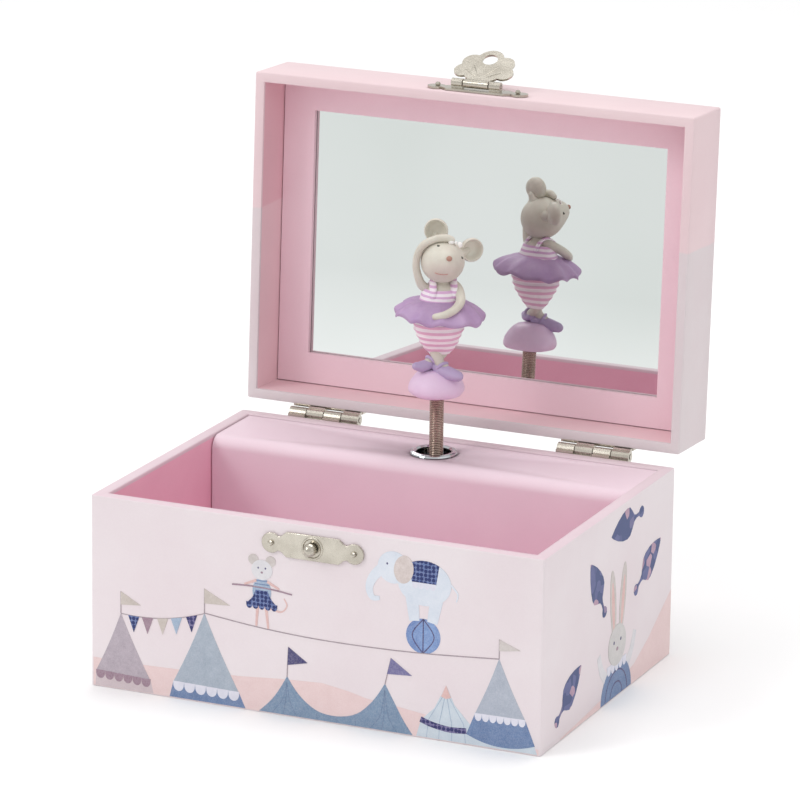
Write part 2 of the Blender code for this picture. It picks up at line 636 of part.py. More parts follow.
def hasp(lid_axis):
    """Hasp plate with two barrels on the lid's front wall, and its flap, folded up."""
    face = -DEPTH / 2 - 0.15 * MM
    shift = Vector((0, -HINGE_Y, -HINGE_Z))
    plate = outline_mesh([lobed_plate_loop(HASP_LENGTH, HASP_HEIGHT, 2.9 * MM, 3.4 * MM)], PLATE)
    axis_up = HASP_AXIS_OUT - PLATE / 2 - 0.15 * MM
    barrel_in, barrel_out = BARREL_SPAN
    spots = [(-barrel_out, -barrel_in), (barrel_in, barrel_out)]
    plate_z = HASP_Z + HASP_PLATE_RISE
    low = -HASP_PLATE_RISE
    rolls = [rod((a, low, axis_up), (b, low, axis_up), HASP_BARREL, 16) for a, b in spots]
    feet = [box((a, low - 0.9 * MM, 0), (b, low + 0.9 * MM, axis_up)) for a, b in spots]
    cuts = [rod((x, 0, -PLATE), (x, 0, PLATE), NAIL_HOLE, 8) for x in CLASP_NAIL_PLACES]
    cuts.append(rod((-9 * MM, low, axis_up), (9 * MM, low, axis_up), HASP_PIN_RADIUS + 0.2 * MM, 12))
    piece("hasp_base_plate", plate, "nickel", lid_axis,
          place=Vector((0, face - PLATE / 2, plate_z)) + shift, turn=(pi / 2, 0, 0),
          joined=[mesh_of(*feet), mesh_of(*rolls)], cut=mesh_of(*cuts))
    pin_at = Vector((0, -DEPTH / 2 - HASP_AXIS_OUT, HASP_Z)) + shift
    smooth(piece("hasp_pin", mesh_of(rod((-barrel_out, 0, 0), (barrel_out, 0, 0), HASP_PIN_RADIUS, 12)),
                 "nickel", lid_axis, place=pin_at))
    for number, x in enumerate(CLASP_NAIL_PLACES, 1):
        nail(f"hasp_nail_{number}", Vector((x, face - PLATE, plate_z)) + shift, (0, 1, 0), lid_axis)
    hasp_axis = empty("hasp_axis", pin_at, (-FLAP_RAISED, 0, 0), lid_axis)
    barrel_half = barrel_in - FIT
    hole = [rod((0, -FLAP_REACH, -2 * MM), (0, -FLAP_REACH, 2 * MM), FLAP_HOLE, 20),
            rod((-9 * MM, 0, 0), (9 * MM, 0, 0), HASP_PIN_RADIUS + 0.2 * MM, 12)]
    roll = rod((-barrel_half, 0, 0), (barrel_half, 0, 0), HASP_BARREL, 16)
    tongue = box((-barrel_half, -3.4 * MM, -PLATE / 2), (barrel_half, -0.4 * MM, PLATE / 2))
    piece("hasp_flap", outline_mesh([flap_loop()], PLATE), "nickel", hasp_axis, turn=(pi / 2, 0, 0),
          joined=[mesh_of(tongue), mesh_of(roll)], cut=mesh_of(*hole))


# ---------------------------------------------------------------- dancer

def dancer():
    """The spring that carries the dancer, the plug in its top and the one-piece casting."""
    bend = empty("spring_bend_axis", (0, SPINDLE_Y, SPRING_BEND_Z))
    tilt = empty("dancer_tilt_axis", (0, 0, TILT_Z - SPRING_BEND_Z), parent=bend)
    spin = empty("dancer_spin_axis", (0, 0, DANCER_FOOT - TILT_Z), parent=tilt)
    wire, pitch, steps = 0.7 * MM, 1.9 * MM, 10
    length = TILT_Z - FIT - SPRING_FOOT - 2 * wire
    turns = int(length / pitch)
    points = []
    for i in range(turns * steps + 1):
        angle = 2 * pi * i / steps
        height = SPRING_FOOT - SPRING_BEND_Z + wire + length * i / (turns * steps)
        points.append(((SPRING_RADIUS - wire) * cos(angle), (SPRING_RADIUS - wire) * sin(angle), height))
    smooth(piece("figure_spring", wire_mesh(points, wire), "spring_steel", bend))
    smooth(turned("spring_top_plug", [(0, 3.6 * MM), (1.3 * MM, 3.6 * MM), (1.5 * MM, 3.2 * MM),
                                      (1.5 * MM, 0), (0.4 * MM, -1.7 * MM), (0, -1.7 * MM)],
                  "brass", steps=16, parent=tilt, place=(0, 0, DANCER_FOOT - TILT_Z)))
    body = [(0, 39 * MM), (2.6 * MM, 39 * MM), (2.9 * MM, 37.6 * MM), (5.0 * MM, 36.4 * MM),
            (6.4 * MM, 33.6 * MM), (7.6 * MM, 32.0 * MM), (14.0 * MM, 28.4 * MM), (14.2 * MM, 26.4 * MM),
            (8.4 * MM, 27.6 * MM), (8.2 * MM, 25.0 * MM), (6.9 * MM, 20.5 * MM), (4.4 * MM, 16.0 * MM),
            (2.6 * MM, 13.4 * MM), (3.4 * MM, 11.2 * MM), (5.6 * MM, 9.8 * MM), (5.0 * MM, 7.9 * MM),
            (7.2 * MM, 6.2 * MM), (8.7 * MM, 3.2 * MM), (8.8 * MM, 1.0 * MM), (8.0 * MM, 0),
            (0, 0)]
    facing = Matrix.Rotation(DANCER_FACING, 4, "Z")
    head_at = facing @ Vector((0, -0.8 * MM, 45.4 * MM))
    ears = [(-2.6 * MM, 0.6 * MM, 54.6 * MM), (7.8 * MM, 0.6 * MM, 50.6 * MM)]
    snout = facing @ Vector((0, -5.4 * MM, 44.8 * MM))
    raised = [(-5.0, 0, 35.0), (-9.4, -0.6, 39.0), (-9.2, -0.8, 45.0), (-6.6, -0.8, 51.5), (-1.4, -1.0, 54.0)]
    folded = [(5.2, 0, 35.6), (8.0, -3.0, 33.0), (6.4, -7.2, 30.6), (1.4, -8.8, 29.8)]
    arms = [wire_mesh([facing @ (Vector(p) * MM) for p in arm], 1.35 * MM, True) for arm in (raised, folded)]
    joined = [mesh_of(ball(head_at, 7.3 * MM, (0.98, 0.98, 1.02), 14))]
    joined += [mesh_of(ball(facing @ Vector(ear), 3.8 * MM, (1, 0.5, 1), 10, facing)) for ear in ears]
    joined.append(mesh_of(ball(snout, 4.2 * MM, (0.9, 1, 0.8), 10, facing)))
    joined += arms
    bore = mesh_of(rod((0, 0, -FIT), (0, 0, 4.4 * MM), 2.3 * MM, 16))
    smooth(turned("dancer_figurine", body, "painted_resin", steps=18, parent=spin, joined=joined, cut=bore))


# ---------------------------------------------------------------- movement

def bedplate():
    """Cast plate with the comb's pedestal and two posts for the cylinder's arbor."""
    front = BEDPLATE_FRONT
    plate = box((-17 * MM, front, 7 * MM), (46 * MM, BEDPLATE_BACK, 54 * MM))
    pedestal = box((COMB_X[0], CYLINDER_Y + COMB_THICK / 2 + FIT, COMB_Z[0] - 0.5 * MM),
                   (COMB_X[1], front + 1 * MM, COMB_Z[1]))
    posts = [box((11.8 * MM, CYLINDER_Y - 2.2 * MM, DRUM_Z - 3 * MM),
                 (12.9 * MM, front + 1 * MM, DRUM_Z + 3 * MM)),
             box((43.0 * MM, CYLINDER_Y - 2.2 * MM, DRUM_Z - 3 * MM),
                 (44.2 * MM, front + 1 * MM, GOVERNOR_Z + 3 * MM))]
    cuts = [rod((0, front - FIT, DRUM_Z), (0, BEDPLATE_BACK + FIT, DRUM_Z),
                ARBOR_RADIUS + 0.25 * MM, 20),
            rod((11 * MM, CYLINDER_Y, DRUM_Z), (45 * MM, CYLINDER_Y, DRUM_Z), 1.0 * MM, 12),
            rod((42 * MM, CYLINDER_Y, GOVERNOR_Z), (45 * MM, CYLINDER_Y, GOVERNOR_Z), 0.9 * MM, 12)]
    cuts += [rod((x, front - FIT, z), (x, BEDPLATE_BACK + FIT, z), 1.3 * MM, 12)
             for x, z in BEDPLATE_SCREWS]
    cuts += [rod((x, CYLINDER_Y, COMB_SCREW_Z), (x, CYLINDER_Y + 7 * MM, COMB_SCREW_Z), 1.1 * MM, 12)
             for x in COMB_SCREWS]
    piece("movement_bedplate", mesh_of(plate), "zinc", joined=[mesh_of(pedestal), mesh_of(*posts)],
          cut=mesh_of(*cuts))
    for number, (x, z) in enumerate(BEDPLATE_SCREWS, 1):
        screw(f"bedplate_screw_{number}", (x, front, z), BEDPLATE + FIT + 2.3 * MM)
    for number, x in enumerate(COMB_SCREWS, 1):
        screw(f"comb_screw_{number}", (x, CYLINDER_Y - COMB_THICK / 2, COMB_SCREW_Z), 6 * MM, 0.85 * MM)


def screw(name, seat, length, shank=0.9 * MM):
    """A cheese-head screw that goes in along +Y; seat is the face under its head."""
    head, radius = 1.1 * MM, 2.0 * MM
    profile = [(0, head + FIT / 2), (radius, head + FIT / 2), (radius, FIT / 2), (shank, FIT / 2),
               (shank, -length + 0.6 * MM), (0.3 * MM, -length), (0, -length)]
    slot = mesh_of(box((-radius * 1.2, -0.25 * MM, head - 0.35 * MM),
                       (radius * 1.2, 0.25 * MM, head + 2 * MM)))
    smooth(turned(name, profile, "brass", steps=12, place=seat, turn=(pi / 2, 0, 0), cut=slot))


def drum():
    """Spring barrel on its arbor, with spur teeth at the back and face teeth in front."""
    axis = empty("drum_axis", (0, 0, DRUM_Z))
    # Local Z points to the front, so a height is minus the distance to the back.
    wall, bore = 0.8 * MM, ARBOR_RADIUS + 0.25 * MM
    front, back = -DRUM_FRONT, -DRUM_BACK
    cup = [(bore, front), (DRUM_RADIUS, front), (DRUM_RADIUS, back), (DRUM_RADIUS - wall, back),
           (DRUM_RADIUS - wall, front - 1 * MM), (bore, front - 1 * MM)]
    tooth = 2 * pi / SPUR_TEETH
    spur = outline_mesh([gear_loop(SPUR_TEETH, SPUR_ROOT, SPUR_TIP, pi / 2 + tooth / 2),
                         arc((0, 0), DRUM_RADIUS - wall / 2, 0, 360 - 10, 35)], SPUR_WIDTH)
    spur.transform(Matrix.Translation((0, 0, -SPUR_FRONT - SPUR_WIDTH / 2)))
    teeth = face_teeth(SPUR_TEETH, FACE_RADIUS - 0.7 * MM, FACE_RADIUS + 0.7 * MM, front - 0.4 * MM,
                       front + FACE_TEETH_HEIGHT, 0.5 * MM, tooth / 2)
    turned("spring_barrel", cup, "brass", steps=27, parent=axis, turn=(pi / 2, 0, 0),
           joined=[spur, mesh_of(*teeth)])
    turns, steps, strip = 5, 14, 0.35 * MM
    inner_radius, outer_radius = 2.9 * MM, 8.6 * MM
    spiral = []
    for i in range(turns * steps + 1):
        angle = 2 * pi * i / steps
        radius = inner_radius + (outer_radius - inner_radius) * i / (turns * steps)
        spiral.append((angle, radius))
    outer = [((r + strip / 2) * cos(a), (r + strip / 2) * sin(a)) for a, r in spiral]
    inner = [((r - strip / 2) * cos(a), (r - strip / 2) * sin(a)) for a, r in spiral]
    piece("mainspring", outline_mesh([outer + inner[::-1]], 7.6 * MM), "spring_steel", axis,
          place=(0, (DRUM_FRONT + DRUM_BACK + 1 * MM) / 2, 0), turn=(pi / 2, 0, 0))
    key_axis = empty("key_axis", (0, 0, DRUM_Z))
    smooth(piece("winding_arbor",
                 mesh_of(rod((0, DRUM_FRONT - 0.6 * MM, 0), (0, 61 * MM, 0), ARBOR_RADIUS, 20)),
                 "zinc", key_axis))
    # A hollow shank that screws on the arbor, and a flat bow with two rings.
    wing = KEY_WIDTH / 2
    ring_radius = 5.2 * MM
    bow = arc((wing - ring_radius, 0), ring_radius, -140, 140, 12)
    bow += [(-x, -y) for x, y in bow]
    rings = [list(reversed(arc((side * (wing - ring_radius), 0), 2.6 * MM, 5 * side, 335 + 5 * side, 11)))
             for side in (-1, 1)]
    bow_mesh = outline_mesh([bow, *rings], 1.4 * MM)
    # The bow stands in the XY plane of the key's own frame, whose Y is the arbor's direction.
    bow_mesh.transform(Matrix.Translation((0, 68 * MM, 0)))
    shank = mesh_of(rod((0, 54.3 * MM, 0), (0, 66 * MM, 0), 2.9 * MM, 20))
    hollow = mesh_of(rod((0, 53 * MM, 0), (0, 61.6 * MM, 0), ARBOR_RADIUS + 0.2 * MM, 20))
    piece("winding_key", shank, "nickel", key_axis, joined=[bow_mesh], cut=hollow)


def cylinder():
    """Pin cylinder with its arbor, the pinion that drives it and the gear that it drives."""
    axis = empty("cylinder_axis", (0, CYLINDER_Y, DRUM_Z))
    along = (0, pi / 2, 0)          # local Z runs along +X
    r = 0.75 * MM
    profile = [(0, 44.6 * MM), (r, 44.6 * MM), (r, CYLINDER_RIGHT), (CYLINDER_RADIUS, CYLINDER_RIGHT),
               (CYLINDER_RADIUS, CYLINDER_LEFT), (r, CYLINDER_LEFT), (r, 7.4 * MM), (0, 7.4 * MM)]
    pins = []
    span = (COMB_X[1] - COMB_X[0]) / COMB_NOTES
    for row in range(COMB_NOTES):
        x = COMB_X[0] + span * (row + 0.5)
        for beat in range(2):
            angle = 2 * pi * ((row * 7 + beat * 11) % 24) / 24
            turn = Matrix.Rotation(angle, 4, "Z")

            def add(form, turn=turn, x=x):
                made = bmesh.ops.create_cube(form, size=1)["verts"]
                bmesh.ops.scale(form, vec=(1.2 * MM, 0.35 * MM, 0.35 * MM), verts=made)
                bmesh.ops.translate(form, vec=(CYLINDER_RADIUS + PIN_HEIGHT - 0.6 * MM, 0, x), verts=made)
                bmesh.ops.transform(form, matrix=turn, verts=made)
            pins.append(add)
    turned("pin_cylinder", profile, "brass", steps=28, parent=axis, turn=along, joined=[mesh_of(*pins)])
    bore = arc((0, 0), 0.95 * MM, 330, 0, 11)
    # Local X points down (-Z of the case) after the turn, local Y stays along +Y.
    pinion = outline_mesh([gear_loop(PINION_TEETH, 2.7 * MM, 3.5 * MM, pi / 2), bore], 1.6 * MM)
    piece("cylinder_pinion", pinion, "brass", axis, place=(8.9 * MM, 0, 0), turn=along)
    gear = outline_mesh([gear_loop(CYLINDER_GEAR_TEETH, 5.7 * MM, 6.35 * MM), bore], 1.4 * MM)
    piece("cylinder_gear", gear, "brass", axis, place=(37.8 * MM, 0, 0), turn=along)


def comb():
    """Steel tone comb: a heel and eighteen tines that shorten towards the high notes."""
    low, root, tip = COMB_Z
    left, right = COMB_X
    pitch = (right - left) / COMB_NOTES
    loop = [(left, low), (right, low)]
    for note in reversed(range(COMB_NOTES)):
        start, end = left + note * pitch, left + (note + 1) * pitch
        slot = 0.15 * MM
        bottom = root + 3.5 * MM * note / COMB_NOTES
        loop += [(end - slot, bottom), (end - slot - 0.1 * MM, tip), (start + slot + 0.1 * MM, tip),
                 (start + slot, bottom)]
    holes = mesh_of(*[rod((x, COMB_SCREW_Z, -2 * MM), (x, COMB_SCREW_Z, 2 * MM), 1.1 * MM, 12)
                      for x in COMB_SCREWS])
    piece("tone_comb", outline_mesh([loop], COMB_THICK), "nickel", place=(0, CYLINDER_Y, 0),
          turn=(pi / 2, 0, 0), cut=holes)


def governor():
    """Speed governor: a wheel with its pinion, a worm with an air-brake fan and their bracket."""
    axis = empty("governor_axis", (0, CYLINDER_Y, GOVERNOR_Z))
    along = (0, pi / 2, 0)
    shaft = mesh_of(rod((0, 0, 33.9 * MM), (0, 0, 44.6 * MM), 0.65 * MM, 12))
    half_tooth = pi / GOVERNOR_PINION_TEETH
    pinion = outline_mesh([gear_loop(GOVERNOR_PINION_TEETH, 2.45 * MM, 3.1 * MM, half_tooth)], 1.4 * MM)
    pinion.transform(Matrix.Translation((0, 0, 37.8 * MM)))
    wheel = outline_mesh([gear_loop(GOVERNOR_WHEEL_TEETH, 4.6 * MM, 5.3 * MM)], 1.4 * MM)
    wheel.transform(Matrix.Translation((0, 0, WORM_X)))
    piece("governor_wheel", shaft, "white_nylon", axis, turn=along, joined=[pinion, wheel])
    fan_axis = empty("fan_axis", (WORM_X, WORM_Y, 0))
    profile = [(0, 55.4 * MM), (0.6 * MM, 55.4 * MM), (0.6 * MM, 47.4 * MM), (1.3 * MM, 47.0 * MM)]
    threads, thread_pitch = 5, 1.4 * MM
    for turn in range(threads):
        top = 47.0 * MM - turn * thread_pitch
        profile += [(1.3 * MM, top - 0.3 * MM), (1.75 * MM, top - 0.55 * MM), (1.75 * MM, top - 0.85 * MM),
                    (1.3 * MM, top - 1.1 * MM)]
    profile += [(0.6 * MM, 39.2 * MM), (0.6 * MM, 33.4 * MM), (0, 33.4 * MM)]
    blades = box((-4.4 * MM, -0.2 * MM, 50.4 * MM), (4.4 * MM, 0.2 * MM, 54.8 * MM))
    turned("governor_worm", profile, "white_nylon", steps=12, parent=fan_axis, joined=[mesh_of(blades)])
    back = box((33.6 * MM, 45.0 * MM, 33.4 * MM), (42.5 * MM, BEDPLATE_FRONT - FIT, 49.3 * MM))
    tabs = [box((39.2 * MM, WORM_Y - 1.8 * MM, z), (42.4 * MM, 45.4 * MM, z + 1.1 * MM))
            for z in (33.9 * MM, 48.1 * MM)]
    arm = box((34.4 * MM, CYLINDER_Y - 2 * MM, GOVERNOR_Z - 1.9 * MM),
              (35.5 * MM, 45.4 * MM, GOVERNOR_Z + 1.9 * MM))
    bores = [rod((WORM_X, WORM_Y, 33 * MM), (WORM_X, WORM_Y, 50 * MM), 0.85 * MM, 12),
             rod((33 * MM, CYLINDER_Y, GOVERNOR_Z), (36.4 * MM, CYLINDER_Y, GOVERNOR_Z), 0.9 * MM, 12)]
    piece("governor_bracket", mesh_of(back), "brass", joined=[mesh_of(*tabs, arm)], cut=mesh_of(*bores))


def dancer_drive():
    """Vertical spindle with a face-toothed wheel over the barrel, in its own bracket."""
    axis = empty("spindle_axis", (0, SPINDLE_Y, 0))
    low = CROWN_LOW
    disc = [(0, low + 2.6 * MM), (2.6 * MM, low + 2.6 * MM), (2.6 * MM, low + 1.4 * MM),
            (9.2 * MM, low + 1.4 * MM), (9.2 * MM, low), (0, low)]
    teeth = face_teeth(CROWN_TEETH, CROWN_RADIUS - 0.5 * MM, CROWN_RADIUS + 0.5 * MM, low - 1.4 * MM,
                       low + 0.5 * MM, 0.5 * MM, pi / 2)
    bore = mesh_of(rod((0, 0, low - 2 * MM), (0, 0, low + 4 * MM), 1.45 * MM, 16))
    turned("spindle_crown_wheel", disc, "white_nylon", steps=32, parent=axis,
           joined=[mesh_of(*teeth)], cut=bore)
    top = SPRING_FOOT - 1.0 * MM
    spindle = [(0, top), (2.5 * MM, top), (2.7 * MM, top - 0.3 * MM), (2.7 * MM, top - 3.2 * MM),
               (1.2 * MM, top - 3.2 * MM), (1.2 * MM, low - 1.2 * MM), (0, low - 1.2 * MM)]
    smooth(turned("figure_spindle", spindle, "zinc", steps=20, parent=axis))
    shelf = box((-6 * MM, SPINDLE_Y - 4.5 * MM, 50.2 * MM), (6 * MM, BEDPLATE_FRONT - FIT, 51.6 * MM))
    flange = box((-6 * MM, BEDPLATE_FRONT - FIT - 1.4 * MM, 51 * MM),
                 (6 * MM, BEDPLATE_FRONT - FIT, 56 * MM))
    hole = rod((0, SPINDLE_Y, 49 * MM), (0, SPINDLE_Y, 53 * MM), 1.45 * MM, 16)
    piece("spindle_bracket", mesh_of(shelf), "brass", joined=[mesh_of(flange)], cut=mesh_of(hole))


def main():
    for old in list(bpy.data.objects):
        bpy.data.objects.remove(old, do_unlink=True)
    for collection in (PARTS, CUTTERS):
        bpy.context.scene.collection.children.link(collection)
    lid_axis = empty("lid_axis", (0, HINGE_Y, HINGE_Z), (-LID_OPEN, 0, 0))
    base_walls()
    base_inside()
    lid_parts(lid_axis)
    for side, middle in HINGE_MIDDLES.items():
        hinge(side, middle, lid_axis)
    clasp()
    hasp(lid_axis)
    dancer()
    bedplate()
    drum()
    cylinder()
    comb()
    governor()
    dancer_drive()


main()
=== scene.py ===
"""Visual model of a wind-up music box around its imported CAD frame. Lengths in millimetres are
turned into metres where each mesh is made."""

import json
from math import cos, exp, pi, radians, sin, sqrt

import bmesh
import bpy
from mathutils import Matrix, Vector
from mathutils.geometry import tessellate_polygon

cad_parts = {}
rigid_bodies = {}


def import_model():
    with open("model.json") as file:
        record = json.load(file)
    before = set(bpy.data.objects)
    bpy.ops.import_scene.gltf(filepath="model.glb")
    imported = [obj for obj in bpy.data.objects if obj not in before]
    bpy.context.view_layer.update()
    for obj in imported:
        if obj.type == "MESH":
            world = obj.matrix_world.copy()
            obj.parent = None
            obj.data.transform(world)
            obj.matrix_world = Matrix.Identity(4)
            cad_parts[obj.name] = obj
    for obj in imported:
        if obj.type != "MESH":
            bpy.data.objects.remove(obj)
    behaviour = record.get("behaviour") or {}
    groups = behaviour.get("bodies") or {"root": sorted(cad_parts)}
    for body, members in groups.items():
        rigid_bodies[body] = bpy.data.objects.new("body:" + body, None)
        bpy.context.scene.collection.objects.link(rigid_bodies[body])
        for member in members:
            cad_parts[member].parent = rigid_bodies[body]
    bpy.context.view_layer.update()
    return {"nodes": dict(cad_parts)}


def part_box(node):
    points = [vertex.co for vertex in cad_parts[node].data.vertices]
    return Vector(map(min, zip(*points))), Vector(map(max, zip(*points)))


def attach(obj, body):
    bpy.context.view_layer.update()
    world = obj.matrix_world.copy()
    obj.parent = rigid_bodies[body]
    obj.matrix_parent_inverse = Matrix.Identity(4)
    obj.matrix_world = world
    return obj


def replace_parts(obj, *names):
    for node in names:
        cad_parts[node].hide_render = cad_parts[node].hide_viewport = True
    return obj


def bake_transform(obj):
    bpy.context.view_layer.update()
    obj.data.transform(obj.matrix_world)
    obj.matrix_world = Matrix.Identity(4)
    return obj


for start_object in list(bpy.data.objects):
    bpy.data.objects.remove(start_object)
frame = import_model()
NODES = frame["nodes"]

MM = 0.001

# The case as the CAD has it, in millimetres.
HALF_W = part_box("base_right_wall")[1].x / MM
HALF_D = -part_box("base_front_wall")[0].y / MM
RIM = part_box("base_front_wall")[1].z / MM
WALL = HALF_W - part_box("base_right_wall")[0].x / MM
COVER_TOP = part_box("movement_cover")[1].z / MM
COVER_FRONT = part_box("movement_cover")[0].y / MM
LID_WALL = HALF_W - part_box("lid_right_wall")[0].x / MM
LID_HEIGHT = 23.5
LID_RIM = RIM + 1.3
LID_OPEN = radians(92.7)
HINGE = Vector((0, 56.1, 62.15))
SPINDLE = Vector((0, 36.5, 0))
DANCER_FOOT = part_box("dancer_figurine")[0].z / MM
FACING = radians(28)

OPENED = Matrix.Translation(HINGE) @ Matrix.Rotation(-LID_OPEN, 4, "X") @ Matrix.Translation(-HINGE)
FRONT_FACE = Matrix(((1, 0, 0, 0), (0, 0, -1, -HALF_D), (0, 1, 0, 0), (0, 0, 0, 1)))
RIGHT_FACE = Matrix(((0, 0, 1, HALF_W), (1, 0, 0, 0), (0, 1, 0, 0), (0, 0, 0, 1)))


# ---------------------------------------------------------------- node materials

class Nodes:
    """A node tree that is written as calls; each call returns an output socket."""

    def __init__(self, name):
        self.material = bpy.data.materials.new(name)
        self.material.use_nodes = True
        self.tree = self.material.node_tree
        self.shader = self.tree.nodes["Principled BSDF"]

    def add(self, kind, settings=None, **inputs):
        node = self.tree.nodes.new(kind)
        for key, value in (settings or {}).items():
            setattr(node, key, value)
        for key, value in inputs.items():
            self.link(node.inputs[key.replace("_", " ")], value)
        return node

    def link(self, socket, value):
        """Joins a socket to another one, or sets it to a plain value."""
        if isinstance(value, bpy.types.NodeSocket):
            self.tree.links.new(value, socket)
        else:
            socket.default_value = value

    def place(self, scale=(1, 1, 1)):
        """Object-space position in metres, stretched by scale."""
        coords = self.add("ShaderNodeTexCoord").outputs["Object"]
        return self.add("ShaderNodeMapping", Vector=coords, Scale=scale).outputs[0]

    def axis(self, letter):
        """One coordinate of the object-space position in millimetres."""
        split = self.add("ShaderNodeSeparateXYZ", Vector=self.place((1 / MM,) * 3))
        return split.outputs[letter.upper()]

    def noise(self, scale, detail=3.0, roughness=0.55, stretch=(1, 1, 1)):
        """Cloudy noise from 0 to 1."""
        return self.add("ShaderNodeTexNoise", Vector=self.place(stretch), Scale=scale,
                        Detail=detail, Roughness=roughness).outputs["Fac"]

    def maths(self, operation, a, b=0.0):
        """One sum on one or two values."""
        node = self.add("ShaderNodeMath", {"operation": operation})
        for socket, value in zip(node.inputs, (a, b)):
            self.link(socket, value)
        return node.outputs[0]

    def spread(self, value, low, high, to_low=0.0, to_high=1.0):
        """The value's part between low and high, stretched to run from to_low to to_high."""
        return self.add("ShaderNodeMapRange", Value=value, From_Min=low, From_Max=high,
                        To_Min=to_low, To_Max=to_high).outputs[0]

    def mix(self, factor, a, b):
        """A colour between a and b."""
        node = self.add("ShaderNodeMix", {"data_type": "RGBA"})
        self.link(node.inputs[0], factor)
        self.link(node.inputs[6], a)
        self.link(node.inputs[7], b)
        return node.outputs[2]

    def bump(self, height, strength, distance=0.0001):
        """Fine relief for the surface; distance is in metres."""
        made = self.add("ShaderNodeBump", Height=height, Strength=strength, Distance=distance)
        self.link(self.shader.inputs["Normal"], made.outputs[0])

    def finish(self, colour, roughness, **inputs):
        """The material, once its colour, roughness and other inputs are set."""
        self.link(self.shader.inputs["Base Color"], colour)
        self.link(self.shader.inputs["Roughness"], roughness)
        for key, value in inputs.items():
            self.link(self.shader.inputs[key.replace("_", " ")], value)
        return self.material


def tone(code, strength=1.0):
    """Linear colour from a hexadecimal sRGB code."""
    parts = [int(code[i:i + 2], 16) / 255 for i in (0, 2, 4)]
    linear = [p / 12.92 if p <= 0.04045 else ((p + 0.055) / 1.055) ** 2.4 for p in parts]
    return (*[min(1, p * strength) for p in linear], 1)


def paper(name, colour, shade, grain=0.12, gloss=0.52):
    """Art paper over board: faint clouding in the print, fibres in the surface."""
    n = Nodes(name)
    clouds = n.noise(28, 4)
    fibres = n.noise(1500, 5, 0.7)
    base = n.mix(n.spread(clouds, 0.35, 0.7), tone(colour), tone(shade))
    base = n.mix(n.spread(fibres, 0.3, 0.75, 0.0, 0.07), base, tone("ffffff"))
    n.bump(fibres, grain, 0.00006)
    return n.finish(base, n.spread(fibres, 0.3, 0.7, gloss - 0.06, gloss + 0.08),
                    Specular_IOR_Level=0.35)


def two_tone_paper(name, below, above, boundary):
    """Lid paper: two pinks that meet in a soft painted line at a height in millimetres."""
    n = Nodes(name)
    clouds = n.noise(30, 4)
    fibres = n.noise(1500, 5, 0.7)
    wave = n.maths("MULTIPLY", n.maths("SUBTRACT", n.noise(22, 2), 0.5), 9.0)
    height = n.maths("ADD", n.axis("z"), wave)
    side = n.spread(height, boundary - 0.4, boundary + 0.4)
    base = n.mix(side, tone(below), tone(above))
    base = n.mix(n.spread(clouds, 0.35, 0.7, 0.0, 0.16), base, tone("c9a2ac"))
    n.bump(fibres, 0.12, 0.00006)
    return n.finish(base, n.spread(fibres, 0.3, 0.7, 0.46, 0.6), Specular_IOR_Level=0.35)


def watercolour(name, colour, shade, dots=None, grain=260):
    """Printed watercolour: blotches of a darker wash, paper grain, and dots where asked."""
    n = Nodes(name)
    wash = n.noise(grain, 5, 0.7)
    fine = n.noise(2600, 3, 0.7)
    base = n.mix(n.spread(wash, 0.32, 0.68), tone(colour), tone(shade))
    base = n.mix(n.spread(fine, 0.35, 0.7, 0.0, 0.18), base, tone("f4eef0"))
    if dots:
        cells = n.add("ShaderNodeTexVoronoi", {"voronoi_dimensions": "3D"}, Vector=n.place(),
                      Scale=760.0, Randomness=0.25)
        base = n.mix(n.spread(cells.outputs["Distance"], 0.42, 0.48, 1.0, 0.0), base, tone(dots))
    n.bump(fine, 0.1, 0.00005)
    return n.finish(base, 0.55, Specular_IOR_Level=0.35)


def harlequin(name, dark, middle, light):
    """Printed patches in three colours, as on a juggling club."""
    n = Nodes(name)
    cells = n.add("ShaderNodeTexVoronoi", {"voronoi_dimensions": "3D"}, Vector=n.place(), Scale=330.0)
    patch = n.add("ShaderNodeSeparateColor", Color=cells.outputs["Color"]).outputs[0]
    base = n.mix(n.spread(patch, 0.5, 0.55), tone(dark), tone(middle))
    base = n.mix(n.spread(patch, 0.84, 0.87), base, tone(light))
    wash = n.noise(420, 4, 0.7)
    base = n.mix(n.spread(wash, 0.35, 0.75, 0.0, 0.35), base, tone("3f4a74"))
    n.bump(n.noise(2600, 3, 0.7), 0.1, 0.00005)
    return n.finish(base, 0.55, Specular_IOR_Level=0.35)


def metal(name, colour, roughness, scratches=0.05, worn=None):
    """Plated or bare metal with fine rubbing marks and a slightly uneven shine."""
    n = Nodes(name)
    marks = n.noise(900, 4, 0.75, (1, 1, 6))
    patches = n.noise(140, 3)
    base = n.mix(n.spread(patches, 0.3, 0.75), tone(colour), tone(worn or colour, 0.8))
    n.bump(marks, scratches, 0.00004)
    return n.finish(base, n.spread(marks, 0.3, 0.7, roughness * 0.75, roughness * 1.3), Metallic=1.0)


def resin(name, colour, shade, gloss=0.5):
    """Hand-painted cast resin: brushy colour over a slightly uneven surface."""
    n = Nodes(name)
    brush = n.noise(180, 4, 0.6)
    grit = n.noise(1400, 3, 0.6)
    base = n.mix(n.spread(brush, 0.3, 0.72), tone(colour), tone(shade))
    n.bump(n.maths("ADD", grit, n.maths("MULTIPLY", brush, 2.0)), 0.1, 0.0001)
    return n.finish(base, n.spread(grit, 0.3, 0.7, gloss - 0.06, gloss + 0.1),
                    Subsurface_Weight=0.06, Subsurface_Radius=(0.001, 0.0007, 0.0006))


